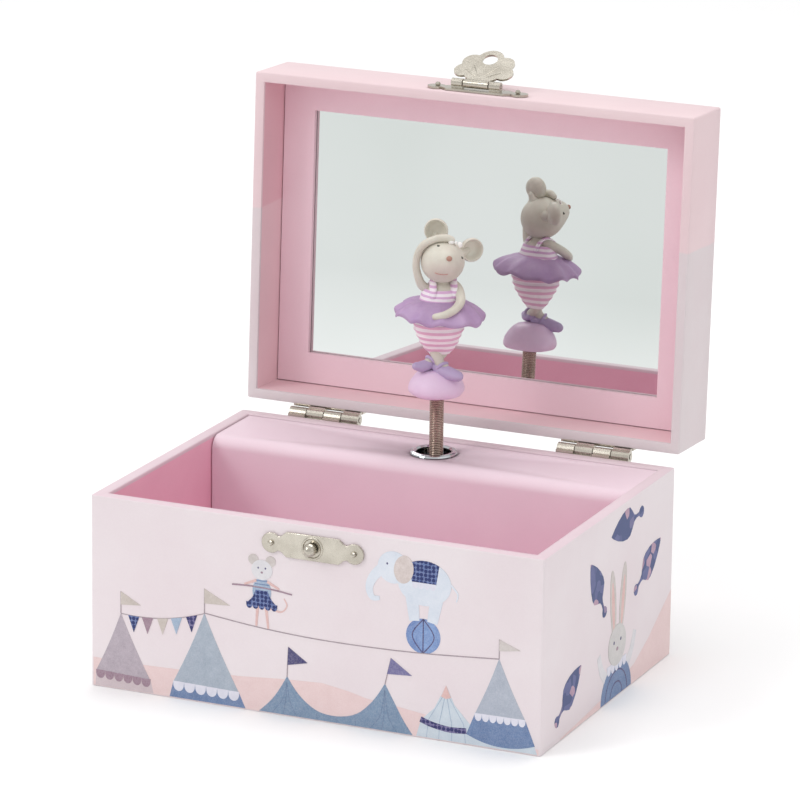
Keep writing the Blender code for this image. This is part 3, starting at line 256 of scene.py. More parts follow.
def striped_resin(name, colour, stripe, period, share, start):
    """Resin painted with level bands: period and start are heights in millimetres, and share is
    the part of each period that the stripe takes."""
    n = Nodes(name)
    brush = n.noise(200, 4, 0.6)
    wobble = n.maths("MULTIPLY", n.maths("SUBTRACT", n.noise(160, 2), 0.5), 0.7)
    height = n.maths("ADD", n.axis("z"), wobble)
    turn = n.maths("FRACT", n.maths("DIVIDE", n.maths("SUBTRACT", height, start), period))
    edge = 0.08
    up = n.spread(turn, 0.0, edge)
    down = n.spread(turn, share, share + edge, 1.0, 0.0)
    base = n.mix(n.maths("MULTIPLY", up, down), tone(colour), tone(stripe))
    base = n.mix(n.spread(brush, 0.3, 0.8, 0.0, 0.18), base, tone("b98fae"))
    n.bump(brush, 0.12, 0.00012)
    return n.finish(base, 0.5, Subsurface_Weight=0.05, Subsurface_Radius=(0.001, 0.0007, 0.0006))


def plastic(name, colour, shade):
    """Moulded nylon with a faint swirl."""
    n = Nodes(name)
    swirl = n.noise(120, 3)
    n.bump(n.noise(1800, 2), 0.05, 0.00005)
    return n.finish(n.mix(n.spread(swirl, 0.3, 0.7), tone(colour), tone(shade)), 0.42)


def silvering(name):
    """Float glass silvered on its back: a clear reflection with the faintest haze."""
    n = Nodes(name)
    haze = n.noise(14, 2)
    return n.finish(n.mix(n.spread(haze, 0.4, 0.7), tone("e4e7e6"), tone("dfe3e1")),
                    n.spread(haze, 0.4, 0.7, 0.004, 0.012), Metallic=1.0)


PAPER = paper("printed_paper", "e4dadd", "e0d3d7")
RIM_PAPER = paper("rim_paper", "e0ccd3", "dcc5cd")
INSIDE = paper("pink_lining_paper", "f1bacb", "ebb0c3", 0.2, 0.6)
COVER_PAPER = paper("cover_paper", "ecd6e0", "e7cfda", 0.2, 0.55)
FRAME_PAPER = paper("mirror_frame_paper", "f2d4dd", "edccd6", 0.2, 0.6)
PAD_PAPER = paper("compartment_pad_paper", "e6aac6", "dfa0be", 0.35, 0.75)
LID_OUT = two_tone_paper("lid_paper", "dbd1d3", "e6cfd2", 128)
LID_IN = two_tone_paper("lid_lining_paper", "edccd1", "e8bcc4", 128)
NICKEL = metal("nickel_plate", "cfc9bd", 0.26, 0.01, "c6bfb2")
CHROME = metal("bright_plate", "d2d4d8", 0.14, 0.02)
COIL_STEEL = metal("coil_steel", "c0ada0", 0.24, 0.0, "b39f92")
SHINY_STEEL = metal("mainspring_steel", "7f8894", 0.3)
COMB_STEEL = metal("comb_steel", "b9bcc2", 0.35, 0.12)
BRASS = metal("brass", "d9b566", 0.3, 0.08, "b38a45")
ZINC = metal("zinc_casting", "b4b6b8", 0.5, 0.2)
NYLON = plastic("white_nylon", "f0f0ea", "e4e4dc")
MIRROR = silvering("mirror_silver")

INK_HILL = watercolour("ink_hill", "e4cbca", "dfc4c3")
INK_MAUVE = watercolour("ink_mauve", "b3a7b1", "a397a2")
INK_PALE_MAUVE = watercolour("ink_pale_mauve", "cdbec2", "c3b3b8")
INK_PLUM = watercolour("ink_plum", "9b7f8f", "8c7080")
INK_BEIGE = watercolour("ink_beige", "c8beb6", "bcb1a9")
INK_GREY_BEIGE = watercolour("ink_grey_beige", "cdc5c2", "bcb3af")
INK_GREY_BLUE = watercolour("ink_grey_blue", "a5b0bd", "95a1b0")
INK_GREY_LILAC = watercolour("ink_grey_lilac", "acb3c0", "9ca4b3")
INK_BLUE = watercolour("ink_blue", "6480a9", "56719c")
INK_STEEL_BLUE = watercolour("ink_steel_blue", "7790ab", "68829f")
INK_SEAM = watercolour("ink_seam", "60779a", "566e90")
INK_LIGHT_BLUE = watercolour("ink_light_blue", "a0b3c8", "8ba0ba")
INK_PALE_BLUE = watercolour("ink_pale_blue", "c8d3dc", "bcc8d3")
INK_LILAC_WHITE = watercolour("ink_lilac_white", "dfdee9", "d1d1de")
INK_PEACH = watercolour("ink_peach", "dcb9b4", "d2aaa6")
INK_POLE = watercolour("ink_pole", "a2949b", "91828a")
INK_NAVY = watercolour("ink_navy", "3a3670", "302c60")
INK_PURPLE = watercolour("ink_purple", "6f6b9a", "5f5b8b")
INK_NAVY_DOTS = watercolour("ink_navy_dots", "5870a6", "465c94", "2c3668")
INK_PURPLE_DOTS = watercolour("ink_purple_dots", "6a6496", "5a5486", "383868")
INK_BALL = watercolour("ink_ball", "7b9aca", "4a66a2", grain=90)
INK_ELEPHANT = watercolour("ink_elephant", "dbe0e9", "cbd3df", grain=110)
INK_EAR = watercolour("ink_ear", "d6cac7", "c5b7b2", grain=700)
INK_WHITE_GREY = watercolour("ink_white_grey", "dcdadd", "cfcdd2")
INK_RABBIT = watercolour("ink_rabbit", "cfccca", "c1bebd")
INK_HARLEQUIN = harlequin("ink_harlequin", "4a5580", "666b96", "bd9cae")

BLOOMER_PERIOD = 2.1
BLOOMER_START = 0.3
SKIN = resin("dancer_skin", "d8d4c8", "ccc5b8")
EYE_PAINT = resin("eye_paint", "5c5f55", "4c4f46")
NOSE_PAINT = resin("nose_paint", "b48a7a", "a97e6e", 0.35)
MOUTH_PAINT = resin("mouth_paint", "c99a90", "c08f86")
WHITE_PAINT = resin("white_paint", "f4f1ee", "ece7e6")
TUTU = resin("tutu_paint", "b79bbd", "a888b2")
SLIPPER = resin("slipper_paint", "c2b0d2", "b5a3c7")
DOME = resin("dome_paint", "ecd3eb", "e6c9e5", 0.42)
LEOTARD = striped_resin("leotard_paint", "f7eef4", "dcb0d6", 1.6, 0.45, 0.6)
BLOOMERS = striped_resin("bloomer_paint", "fff8fb", "ecbdd6", BLOOMER_PERIOD, 0.48, BLOOMER_START)


# ---------------------------------------------------------------- mesh helpers

def new_object(name, form, finishes, smooth=True, sharp=50):
    """An object from a bmesh in millimetres; edges of more than sharp degrees stay sharp."""
    bmesh.ops.remove_doubles(form, verts=form.verts, dist=1e-4)
    bmesh.ops.recalc_face_normals(form, faces=form.faces)
    bmesh.ops.scale(form, vec=(MM,) * 3, verts=form.verts)
    for face in form.faces:
        face.smooth = smooth
    if smooth:
        for edge in form.edges:
            if edge.is_manifold and edge.calc_face_angle(0) > radians(sharp):
                edge.smooth = False
    mesh = bpy.data.meshes.new(name)
    form.to_mesh(mesh)
    form.free()
    for finish in finishes:
        mesh.materials.append(finish)
    made = bpy.data.objects.new(name, mesh)
    bpy.context.scene.collection.objects.link(made)
    return made


def applied(made):
    """made with its modifiers built into its mesh."""
    bpy.context.view_layer.update()
    graph = bpy.context.evaluated_depsgraph_get()
    mesh = bpy.data.meshes.new_from_object(made.evaluated_get(graph))
    made.modifiers.clear()
    made.data = mesh
    return made


def around(steps):
    """Angles spread evenly over one full turn."""
    return [2 * pi * i / steps for i in range(steps)]


def oval(centre, across, up, turn=0.0, steps=28):
    """Points round an oval, turned by some degrees."""
    angle = radians(turn)
    return [(centre[0] + across * cos(a) * cos(angle) - up * sin(a) * sin(angle),
             centre[1] + across * cos(a) * sin(angle) + up * sin(a) * cos(angle))
            for a in around(steps)]


def skin_rows(form, rows, closed_rows=True, cap_start=False, cap_end=False, finish=0):
    """Faces between neighbouring rows of points; each row is a ring unless closed_rows is off."""
    rings = [[form.verts.new(Vector(p)) for p in row] for row in rows]
    count = len(rings[0])
    last = count if closed_rows else count - 1
    faces = []
    for ring, following in zip(rings, rings[1:]):
        for i in range(last):
            j = (i + 1) % count
            faces.append(form.faces.new((ring[i], ring[j], following[j], following[i])))
    if cap_start:
        faces.append(form.faces.new(rings[0]))
    if cap_end:
        faces.append(form.faces.new(rings[-1]))
    for face in faces:
        face.material_index = finish
    return rings


def add_lathe(form, profile, steps, centre, shape=None):
    """A surface of revolution about a vertical axis; a profile point on the axis closes it.
    shape(angle, z) multiplies the radius."""
    rows = []
    for radius, z in profile:
        row = []
        for angle in around(steps):
            reach = max(radius, 1e-5) * (shape(angle, z) if shape else 1)
            row.append((centre[0] + reach * cos(angle), centre[1] + reach * sin(angle), z))
        rows.append(row)
    skin_rows(form, rows, cap_start=profile[0][0] < 1e-4, cap_end=profile[-1][0] < 1e-4)


def curve_through(points, steps):
    """Points of a Catmull-Rom curve, with steps to each stretch; a radius after x, y, z is carried
    along."""
    points = [tuple(p) for p in points]
    padded = [points[0]] + points + [points[-1]]
    out = []
    for a, b, c, d in zip(padded, padded[1:], padded[2:], padded[3:]):
        for i in range(steps):
            t = i / steps
            out.append(tuple(
                0.5 * (2 * q + (r - p) * t + (2 * p - 5 * q + 4 * r - s) * t * t
                       + (3 * q - p - 3 * r + s) * t ** 3)
                for p, q, r, s in zip(a, b, c, d)))
    out.append(points[-1])
    return out


def add_tube(form, points, steps, ends=True, flat=1.0):
    """A round tube through (x, y, z, radius) points, with rounded ends unless ends is off; flat
    squashes it across."""
    path = [Vector(p[:3]) for p in points]
    rows = []
    side = None
    for i, here in enumerate(path):
        along = (path[min(i + 1, len(path) - 1)] - path[max(i - 1, 0)]).normalized()
        if side is None:
            side = along.cross(Vector((0, 0, 1)))
            if side.length < 1e-3:
                side = along.cross(Vector((1, 0, 0)))
        side = (side - along * side.dot(along)).normalized()
        over = side.cross(along)
        radius = points[i][3]
        rows.append([here + side * (radius * cos(a)) + over * (radius * flat * sin(a))
                     for a in around(steps)])
    if ends:
        caps = []
        for index, inner in ((0, 1), (-1, -2)):
            out_dir = (path[index] - path[inner]).normalized()
            radius = points[index][3]
            cap = []
            for turn in (0.45, 0.8, 0.97):
                shrink = sqrt(1 - turn * turn)
                cap.append([path[index] + (p - path[index]) * shrink + out_dir * radius * turn
                            for p in rows[index]])
            caps.append(cap)
        rows = list(reversed(caps[0])) + rows + caps[1]
    skin_rows(form, rows, cap_start=True, cap_end=True)


def add_blob(form, radii, place, steps, shape=None):
    """A stretched sphere with its poles along local Z; shape(direction) scales the radius."""
    rows = []
    for j in range(steps // 2 + 1):
        polar = pi * j / (steps // 2)
        row = []
        for angle in around(steps):
            way = Vector((sin(polar) * cos(angle), sin(polar) * sin(angle), cos(polar)))
            reach = shape(way) if shape else 1
            row.append(place @ Vector([w * r * reach for w, r in zip(way, radii)]))
        rows.append(row)
    skin_rows(form, rows)


def box_rows(sizes):
    """Rings of points round rectangles with rounded corners, from (inset, z, corner) triples; the
    inset is measured from the outside of the case."""
    rows = []
    for inset, z, corner in sizes:
        half_w, half_d = HALF_W - inset - corner, HALF_D - inset - corner
        row = []
        for sx, sy, start in ((1, 1, 0), (-1, 1, 90), (-1, -1, 180), (1, -1, 270)):
            for turn in (0, 22.5, 45, 67.5, 90):
                angle = radians(start + turn)
                row.append((sx * half_w + corner * cos(angle), sy * half_d + corner * sin(angle), z))
        rows.append(row)
    return rows


def carved(made, cutters):
    """made less the cutter objects, which are removed."""
    for cutter in cutters:
        step = made.modifiers.new("cut", "BOOLEAN")
        step.operation = "DIFFERENCE"
        step.solver = "EXACT"
        step.object = cutter
    applied(made)
    for cutter in cutters:
        bpy.data.objects.remove(cutter)
    return made


def rod_object(start, end, radius, steps=32):
    """A straight rod to cut with."""
    form = bmesh.new()
    add_tube(form, [(*start, radius), (*end, radius)], steps, ends=False)
    return new_object("cutter", form, [])


def dress(node, finish):
    """Gives a CAD node a scene material."""
    materials = NODES[node].data.materials
    materials.clear()
    materials.append(finish)
    for polygon in NODES[node].data.polygons:
        polygon.material_index = 0


# ---------------------------------------------------------------- case

def base_shell():
    """The paper-covered base: outside and rim in printed paper, inside in pink lining."""
    form = bmesh.new()
    turn_in = 1.2
    levels = 6
    sides = [(0, 0.3 + (RIM - 0.7) * i / levels, 0.7) for i in range(levels)]
    outer = box_rows([(0.3, 0, 0.5)] + sides + [(0, RIM - 0.4, 0.7), (0.12, RIM - 0.12, 0.6)])
    rim = box_rows([
        (0.12, RIM - 0.12, 0.6), (0.4, RIM, 0.5), (WALL - 0.4, RIM, 0.3),
        (WALL - 0.1, RIM - 0.12, 0.2), (WALL, RIM - 0.4, 0.15), (WALL, RIM - turn_in, 0.15)])
    inner = box_rows([(WALL, RIM - turn_in, 0.15), (WALL, 30, 0.15), (WALL, 0, 0.15)])
    skin_rows(form, outer, finish=0)
    skin_rows(form, rim, finish=2)
    skin_rows(form, inner, finish=1)
    skin_rows(form, [inner[-1], outer[0]], finish=0)
    made = new_object("base_shell", form, [PAPER, INSIDE, RIM_PAPER])
    made = carved(made, [rod_object((0, HALF_D - WALL - 1, 34), (0, HALF_D + 1, 34), 3.6)])
    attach(made, "base")
    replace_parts(made, "base_front_wall", "base_rear_wall", "base_left_wall", "base_right_wall")


def lid_shell():
    """The lid tray, modelled shut and then swung open about the hinge line."""
    form = bmesh.new()
    top = LID_RIM + LID_HEIGHT
    ceiling = top - 3
    turn_in = 0.9
    outer = box_rows([
        (LID_WALL, LID_RIM + turn_in, 0.15), (LID_WALL, LID_RIM + 0.4, 0.15),
        (LID_WALL - 0.1, LID_RIM + 0.1, 0.2), (LID_WALL - 0.4, LID_RIM, 0.3), (0.4, LID_RIM, 0.5),
        (0.12, LID_RIM + 0.12, 0.6), (0, LID_RIM + 0.4, 0.7), (0, top - 0.5, 0.7),
        (0.15, top - 0.15, 0.6), (0.5, top, 0.5)])
    inner = box_rows([(LID_WALL, ceiling, 0.15), (LID_WALL, LID_RIM + turn_in, 0.15)])
    skin_rows(form, outer, cap_end=True, finish=0)
    skin_rows(form, inner, cap_start=True, finish=1)
    bmesh.ops.transform(form, matrix=OPENED, verts=form.verts)
    made = new_object("lid_shell", form, [LID_OUT, LID_IN])
    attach(made, "lid")
    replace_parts(made, "lid_front_wall", "lid_rear_wall", "lid_left_wall", "lid_right_wall",
                "lid_top_panel")


def cover_shell():
    """The bent cover over the movement, with a rounded front edge and a hole for the spring."""
    form = bmesh.new()
    half = 70.6
    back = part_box("movement_cover")[1].y / MM
    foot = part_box("movement_cover")[0].z / MM
    round_out, round_in, board, top_board = 4.0, 1.5, 2.5, 3.0
    corner = (COVER_FRONT + round_out, COVER_TOP - round_out)
    inner_corner = (COVER_FRONT + round_out, COVER_TOP - top_board - round_in)
    profile = [(COVER_FRONT, foot)]
    profile += [(corner[0] - round_out * cos(radians(a)), corner[1] + round_out * sin(radians(a)))
                for a in range(0, 91, 9)]
    profile += [(back, COVER_TOP), (back, COVER_TOP - top_board)]
    profile += [(inner_corner[0] - round_in * cos(radians(a)),
                 inner_corner[1] + round_in * sin(radians(a))) for a in range(90, -1, -15)]
    profile += [(COVER_FRONT + board, foot)]
    rows = [[(x, y, z) for y, z in profile] for x in (-half, half)]
    skin_rows(form, rows, cap_start=True, cap_end=True)
    made = new_object("movement_cover_board", form, [COVER_PAPER], sharp=40)
    hole = rod_object((0, SPINDLE.y, COVER_TOP - 8), (0, SPINDLE.y, COVER_TOP + 8), 6.5, 48)
    made = carved(made, [hole])
    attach(made, "base")
    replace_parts(made, "movement_cover")


# ---------------------------------------------------------------- clasp and hasp

# The pressings' thickness, the hasp's pin on the shut lid, and the turn that folds the flap up.
PLATE = 0.7
HASP_PIN = (0, -HALF_D - 2.6, 67.0)
HASP_FOLD = -radians(150)


def pressed_plate(form, loops, thickness, place):
    """A flat pressing: the first loop is the outline and the others are holes, all (x, z) pairs."""
    points = [point for loop in loops for point in loop]
    near, far = ([form.verts.new(place @ Vector((x, side * thickness / 2, z))) for x, z in points]
                 for side in (-1, 1))
    if len(loops) == 1:
        form.faces.new(near)
        form.faces.new(far[::-1])
    else:
        for a, b, c in tessellate_polygon([[Vector((x, z, 0)) for x, z in loop] for loop in loops]):
            form.faces.new((near[a], near[b], near[c]))
            form.faces.new((far[c], far[b], far[a]))
    first = 0
    for loop in loops:
        for i in range(len(loop)):
            a, b = first + i, first + (i + 1) % len(loop)
            form.faces.new((near[a], near[b], far[b], far[a]))
        first += len(loop)
    bmesh.ops.recalc_face_normals(form, faces=form.faces)


def soft_edges(made, width):
    """Rounds a plate's sharp edges a little."""
    step = made.modifiers.new("edges", "BEVEL")
    step.width = width * MM
    step.segments = 2
    step.limit_method = "ANGLE"
    step.angle_limit = radians(50)
    applied(made)


def clasp_front():
    """The clasp's plate with a round lobe at each end and a pressed ring round its knob."""
    level = (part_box("clasp_plate")[0].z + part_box("clasp_plate")[1].z) / 2 / MM
    lobe = [(13.7 + 3.2 * cos(radians(a)), 3.2 * sin(radians(a))) for a in range(-135, 136, 15)]
    right = [(8.6, -4.0), (9.5, -3.3), (10.1, -2.7), (10.8, -2.4)] + lobe
    right += [(10.8, 2.4), (10.1, 2.7), (9.5, 3.3), (8.6, 4.0)]
    outline = right + [(-x, -z) for x, z in right]
    form = bmesh.new()
    pressed_plate(form, [outline], PLATE, Matrix.Translation((0, -HALF_D - 0.5, level)))
    made = new_object("clasp_plate_pressed", form, [NICKEL], sharp=35)
    soft_edges(made, 0.18)
    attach(made, "base")
    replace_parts(made, "clasp_plate")
    form = bmesh.new()
    ring = [(x, -HALF_D - 0.85, z, 0.42) for x, z in oval((0, level), 3.2, 3.2, steps=40)]
    ring.append(ring[0])
    add_tube(form, ring, 12, ends=False)
    made = new_object("clasp_ring", form, [NICKEL])
    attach(made, "base")


def hasp_shell():
    """The shell-shaped flap of the hasp with its rolled barrel, folded up over the lid's edge."""
    place = OPENED @ Matrix.Translation(HASP_PIN) @ Matrix.Rotation(HASP_FOLD, 4, "X")
    lobes = [((6.9, -6.2), 3.1), ((5.4, -10.6), 3.4), ((0, -12.4), 4.4), ((-5.4, -10.6), 3.4),
             ((-6.9, -6.2), 3.1), ((0, -6.5), 5.0), ((3.3, -4.4), 2.4), ((-3.3, -4.4), 2.4)]
    middle = (0, -7.0)

    def reach(angle):
        """How far the outermost lobe goes from the middle in one direction."""
        best = 0
        for (x, z), radius in lobes:
            along = (x - middle[0]) * cos(angle) + (z - middle[1]) * sin(angle)
            inside = radius ** 2 - (x - middle[0]) ** 2 - (z - middle[1]) ** 2 + along ** 2
            if inside > 0:
                best = max(best, along + sqrt(inside))
        return best

    outline = [(middle[0] + reach(a) * cos(a), min(middle[1] + reach(a) * sin(a), -2.0))
               for a in around(120)]
    hole = oval((0, -12.2), 2.5, 2.5)
    form = bmesh.new()
    pressed_plate(form, [outline, hole], PLATE, place)
    made = new_object("hasp_shell", form, [NICKEL], sharp=35)
    soft_edges(made, 0.15)
    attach(made, "hasp")
    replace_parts(made, "hasp_flap")
    form = bmesh.new()
    rows = []
    for x, radius in ((-4.2, 1.4), (4.2, 1.4), (4.2, 0.8), (-4.2, 0.8), (-4.2, 1.4)):
        rows.append([place @ Vector((x, radius * cos(a), radius * sin(a))) for a in around(24)])
    skin_rows(form, rows)
    for angle in (-146, -122, -58, -34):
        way = (cos(radians(angle)), sin(radians(angle)))
        for side in (-0.35, 0.35):
            line = [place @ Vector((way[0] * r, side, -2.2 + way[1] * r)) for r in (2.4, 5.0, 7.6)]
            add_tube(form, [(*p, r) for p, r in zip(line, (0.1, 0.17, 0.1))], 8)
    tongue = [(-4.0, -1.2), (4.0, -1.2), (4.0, -3.0), (-4.0, -3.0)]
    pressed_plate(form, [tongue], 0.66, place)
    made = new_object("hasp_roll", form, [NICKEL], sharp=35)
    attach(made, "hasp")


# ---------------------------------------------------------------- printed faces

class Print:
    """Thin inked shapes on one flat face; each layer lies 0.03 mm above the one below."""

    def __init__(self, name, face):
        self.name = name
        self.face = face
        self.form = bmesh.new()
        self.inks = []

    def ink(self, finish):
        """The number of an ink, which is added at its first use."""
        if finish not in self.inks:
            self.inks.append(finish)
        return self.inks.index(finish)

    def shape(self, loop, layer, finish):
        """A filled outline in the face's own millimetres, as a thin closed form."""
        index = self.ink(finish)
        height = 0.03 * (layer + 1)
        top = [self.form.verts.new(self.face @ Vector((u, v, height))) for u, v in loop]
        low = [self.form.verts.new(self.face @ Vector((u, v, -0.01))) for u, v in loop]
        faces = []
        for a, b, c in tessellate_polygon([[Vector((u, v, 0)) for u, v in loop]]):
            faces.append(self.form.faces.new((top[a], top[b], top[c])))
            faces.append(self.form.faces.new((low[c], low[b], low[a])))
        for i in range(len(loop)):
            j = (i + 1) % len(loop)
            faces.append(self.form.faces.new((top[i], low[i], low[j], top[j])))
        for face in faces:
            face.material_index = index

    def line(self, points, width, layer, finish):
        """A stroke along the points; a pair of widths makes it taper."""
        first, last = width if isinstance(width, tuple) else (width, width)
        left, right = [], []
        for i, (u, v) in enumerate(points):
            du = points[min(i + 1, len(points) - 1)][0] - points[max(i - 1, 0)][0]
            dv = points[min(i + 1, len(points) - 1)][1] - points[max(i - 1, 0)][1]
            size = sqrt(du * du + dv * dv)
            half = (first + (last - first) * i / (len(points) - 1)) / 2
            left.append((u - dv / size * half, v + du / size * half))
            right.append((u + dv / size * half, v - du / size * half))
        self.shape(left + right[::-1], layer, finish)

    def finish(self, body):
        """Turns the shapes into one object that rides a body."""
        made = new_object(self.name, self.form, self.inks, smooth=False)
        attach(made, body)


def sagging(start, end, sag, steps=16):
    """Points along a string that hangs between two points."""
    points = []
    for i in range(steps + 1):
        t = i / steps
        points.append((start[0] + (end[0] - start[0]) * t,
                       start[1] + (end[1] - start[1]) * t - 4 * sag * t * (1 - t)))
    return points


def flag(sheet, apex, pole, length, droop, finish, lean=0.0):
    """A pole on a tent's apex with a pointed flag."""
    top = (apex[0] + lean, apex[1] + pole)
    sheet.line([apex, top], 0.28, 3, INK_POLE)
    fold = (apex[0] + lean * 0.35, apex[1] + pole * 0.4)
    sheet.shape([top, (top[0] + length, top[1] - droop), fold], 4, finish)


def scallops(sheet, left, right, count, depth, layer, finish):
    """A row of hanging half-round tabs between two points."""
    step = ((right[0] - left[0]) / count, (right[1] - left[1]) / count)
    half = step[0] / 2
    for i in range(count):
        x, y = left[0] + step[0] * (i + 0.5), left[1] + step[1] * (i + 0.5)
        tab = [(x + half * 0.97 * cos(radians(a)), y - depth * abs(sin(radians(a))) ** 0.8)
               for a in range(180, 361, 15)]
        sheet.shape([(x - half, y + 0.5)] + tab + [(x + half, y + 0.5)], layer, finish)


def cone_tent(sheet, apex, left, right, wall_left, wall_right, cone, skirt, tabs, count, depth):
    """A pointed tent: cone, scalloped valance and a wall below it; depth is the valance's."""
    hang = min(wall_left[1], wall_right[1])
    bottom = sagging(wall_right, wall_left, (hang - 0.5) * 0.9, 12)
    sheet.shape([left, right] + bottom, 1, skirt)
    reach = (right[0] - left[0]) / 2
    other = [(apex[0] + (right[0] - apex[0]) * t - 0.04 * reach * sin(pi * t),
              apex[1] + (right[1] - apex[1]) * t) for t in (0.15, 0.3, 0.5, 0.7, 0.85)]
    side = [(apex[0] + (left[0] - apex[0]) * t + 0.04 * reach * sin(pi * t),
             apex[1] + (left[1] - apex[1]) * t) for t in (0.85, 0.7, 0.5, 0.3, 0.15)]
    sheet.shape([apex] + other + [right, left] + side, 2, cone)
    scallops(sheet, left, right, count, depth, 3, tabs)


def front_scene(sheet):
    """Tents, bunting and a tightrope over pale hills."""
    sheet.shape([(-74.3, 0.4), (-74.3, 9.4), (-60, 9.2), (-45, 9.6), (-24, 10.6), (-10, 11.8),
                 (3.2, 12.5), (12, 11.2), (18.1, 9.8), (30, 8.6), (38, 7.6), (50, 5.4), (62, 3.0),
                 (74.3, 2.2), (74.3, 0.4)], 0, INK_HILL)
    cone_tent(sheet, (-64.8, 24.9), (-73.4, 5.1), (-54.6, 4.4), (-73.6, 0.5), (-53.6, 0.5),
              INK_MAUVE, INK_PALE_MAUVE, INK_PLUM, 6, 2.2)
    flag(sheet, (-64.8, 24.9), 7.0, 6.8, 3.6, INK_BEIGE)
    cone_tent(sheet, (-36.3, 29), (-46.9, 5.3), (-24.4, 4.9), (-48.1, 0.5), (-22.3, 0.5),
              INK_GREY_BLUE, INK_BLUE, INK_LILAC_WHITE, 6, 2.6)
    flag(sheet, (-36.3, 29), 7.8, 8.6, 4.2, INK_BEIGE)
    string = sagging((-64.6, 24.8), (-36.4, 28.8), 1.6, 60)
    sheet.line(string, 0.22, 3, INK_POLE)
    pennants = (INK_NAVY_DOTS, INK_PLUM, INK_BEIGE, INK_LIGHT_BLUE, INK_PURPLE_DOTS)
    for number, finish in enumerate(pennants):
        first = 5 + 10 * number + number // 2
        start, end = string[first], string[first + 8]
        point = ((start[0] + end[0]) / 2, (start[1] + end[1]) / 2 - 5.2)
        sheet.shape([start, point, end], 4, finish)
    rope = curve_through([(-36.4, 29.0), (-16.5, 27.0), (5.9, 26.1), (34, 26.7), (61.1, 28.7)], 8)
    sheet.line(rope, 0.3, 3, INK_POLE)
    rise = curve_through([(-17.7, 0.5), (-13.6, 4.6), (-10.8, 8.6), (-8.4, 12.9)], 4)
    valley = curve_through([(-8.4, 12.9), (-4.4, 7.6), (1.4, 3.5), (8.1, 2.6), (14.8, 4.4), (20.2, 9.4),
                            (24.1, 15.4)], 4)
    fall = curve_through([(24.1, 15.4), (27.2, 10.0), (30.4, 4.6), (33.4, 0.5)], 4)
    sheet.shape(rise + valley[1:] + fall[1:], 2, INK_STEEL_BLUE)
    for apex, feet in (((-8.4, 11.0), (-13.4, -9.6, -5.0)), ((24.1, 13.4), (19.4, 23.2, 28.2))):
        for foot in feet:
            bend = (apex[0] * 0.7 + foot * 0.3, 5.2)
            sheet.line(curve_through([apex, bend, (foot, 0.6)], 5), (0.12, 0.2), 3, INK_SEAM)
    for foot in (1.6, 8.2, 14.4):
        sheet.line([(foot, 2.6), (foot + 0.2, 0.6)], 0.16, 3, INK_SEAM)
    flag(sheet, (-8.4, 12.7), 9.6, 6.4, 4.2, INK_NAVY, 0.4)
    flag(sheet, (24.1, 15.2), 8.6, 6.9, 4.6, INK_PURPLE, 1.9)
    sheet.shape([(34.6, 0.5), (36.0, 5.6), (36.6, 6.4), (40.4, 10.2), (44.1, 17.9), (47.0, 12.0),
                 (52.4, 6.4), (54.0, 0.5)], 0.7, INK_PALE_BLUE)
    for foot in (38.6, 42.2, 46.0, 50.0):
        fold = [(44.1 * 0.8 + foot * 0.2, 14.0), (foot, 6.4), (foot + (foot - 44.1) * 0.12, 0.6)]
        sheet.line(fold, 0.16, 2, INK_LIGHT_BLUE)
    sheet.shape([(44.1, 17.9), (45.8, 14.2), (44.1, 13.6), (42.5, 14.2)], 3, INK_PEACH)
    sash = curve_through([(35.9, 6.0), (40, 4.8), (45.4, 4.1), (50.9, 4.5)], 5)
    sheet.line(sash, 1.8, 3, INK_PURPLE_DOTS)
    cone_tent(sheet, (61.1, 28.8), (53.5, 10.2), (70.0, 10.4), (50.9, 3.6), (73.1, 3.0),
              INK_GREY_LILAC, INK_BLUE, INK_LILAC_WHITE, 7, 1.9)
    sheet.shape([(49.6, 0.5), (51.0, 3.4), (62, 2.4), (73.0, 2.8), (73.9, 0.5)], 0.4, INK_PALE_BLUE)
    flag(sheet, (61.1, 28.8), 6.0, 6.8, 2.6, INK_GREY_BEIGE)


def rope_acrobat(sheet):
    """A plain mouse in a bell skirt, facing forward on the rope with a balancing pole."""
    sheet.line(curve_through([(-14.6, 33.8), (-10.6, 33.0), (-8.6, 35.2), (-9.6, 37.4)], 5), (0.6, 0.3), 3,
               INK_PEACH)
    for hip, foot in (((-18.4, 34.0), (-18.8, 27.5)), ((-15.6, 34.0), (-14.8, 27.1))):
        sheet.line([hip, foot], (1.0, 0.6), 3, INK_PEACH)
    sheet.shape(oval((-17.0, 38.6), 3.1, 4.4), 3.5, INK_LIGHT_BLUE)
    for level in (39.8, 40.9, 42.0):
        sheet.line([(-19.3, level), (-14.7, level)], 0.34, 4, INK_BLUE)
    scallops(sheet, (-22.2, 34.4), (-11.8, 34.4), 5, 1.5, 4, INK_NAVY_DOTS)
    sheet.shape(curve_through([(-22.2, 34.4), (-20.2, 36.4), (-19.0, 39.0)], 4)
                + curve_through([(-15.0, 39.0), (-13.8, 36.4), (-11.8, 34.4)], 4), 4.5, INK_NAVY_DOTS)
    for shoulder, hand in (((-18.8, 42.0), (-22.8, 40.3)), ((-15.2, 42.0), (-11.2, 40.1))):
        sheet.line([shoulder, hand], (0.8, 0.6), 4.5, INK_PEACH)
    sheet.line(sagging((-27.0, 39.6), (-7.0, 39.0), -0.6), 0.4, 5.5, INK_PLUM)
    for ear in (-19.9, -14.1):
        sheet.shape(oval((ear, 48.5), 1.7, 1.7, steps=20), 4.5, INK_GREY_BEIGE)
    sheet.shape(oval((-17.0, 45.5), 3.5, 3.2), 5, INK_WHITE_GREY)
    for eye in (-18.2, -15.8):
        sheet.shape(oval((eye, 46.1), 0.28, 0.32, steps=10), 5.5, INK_NAVY)
    sheet.shape(oval((-17.0, 44.7), 0.42, 0.34, steps=12), 5.5, INK_PLUM)


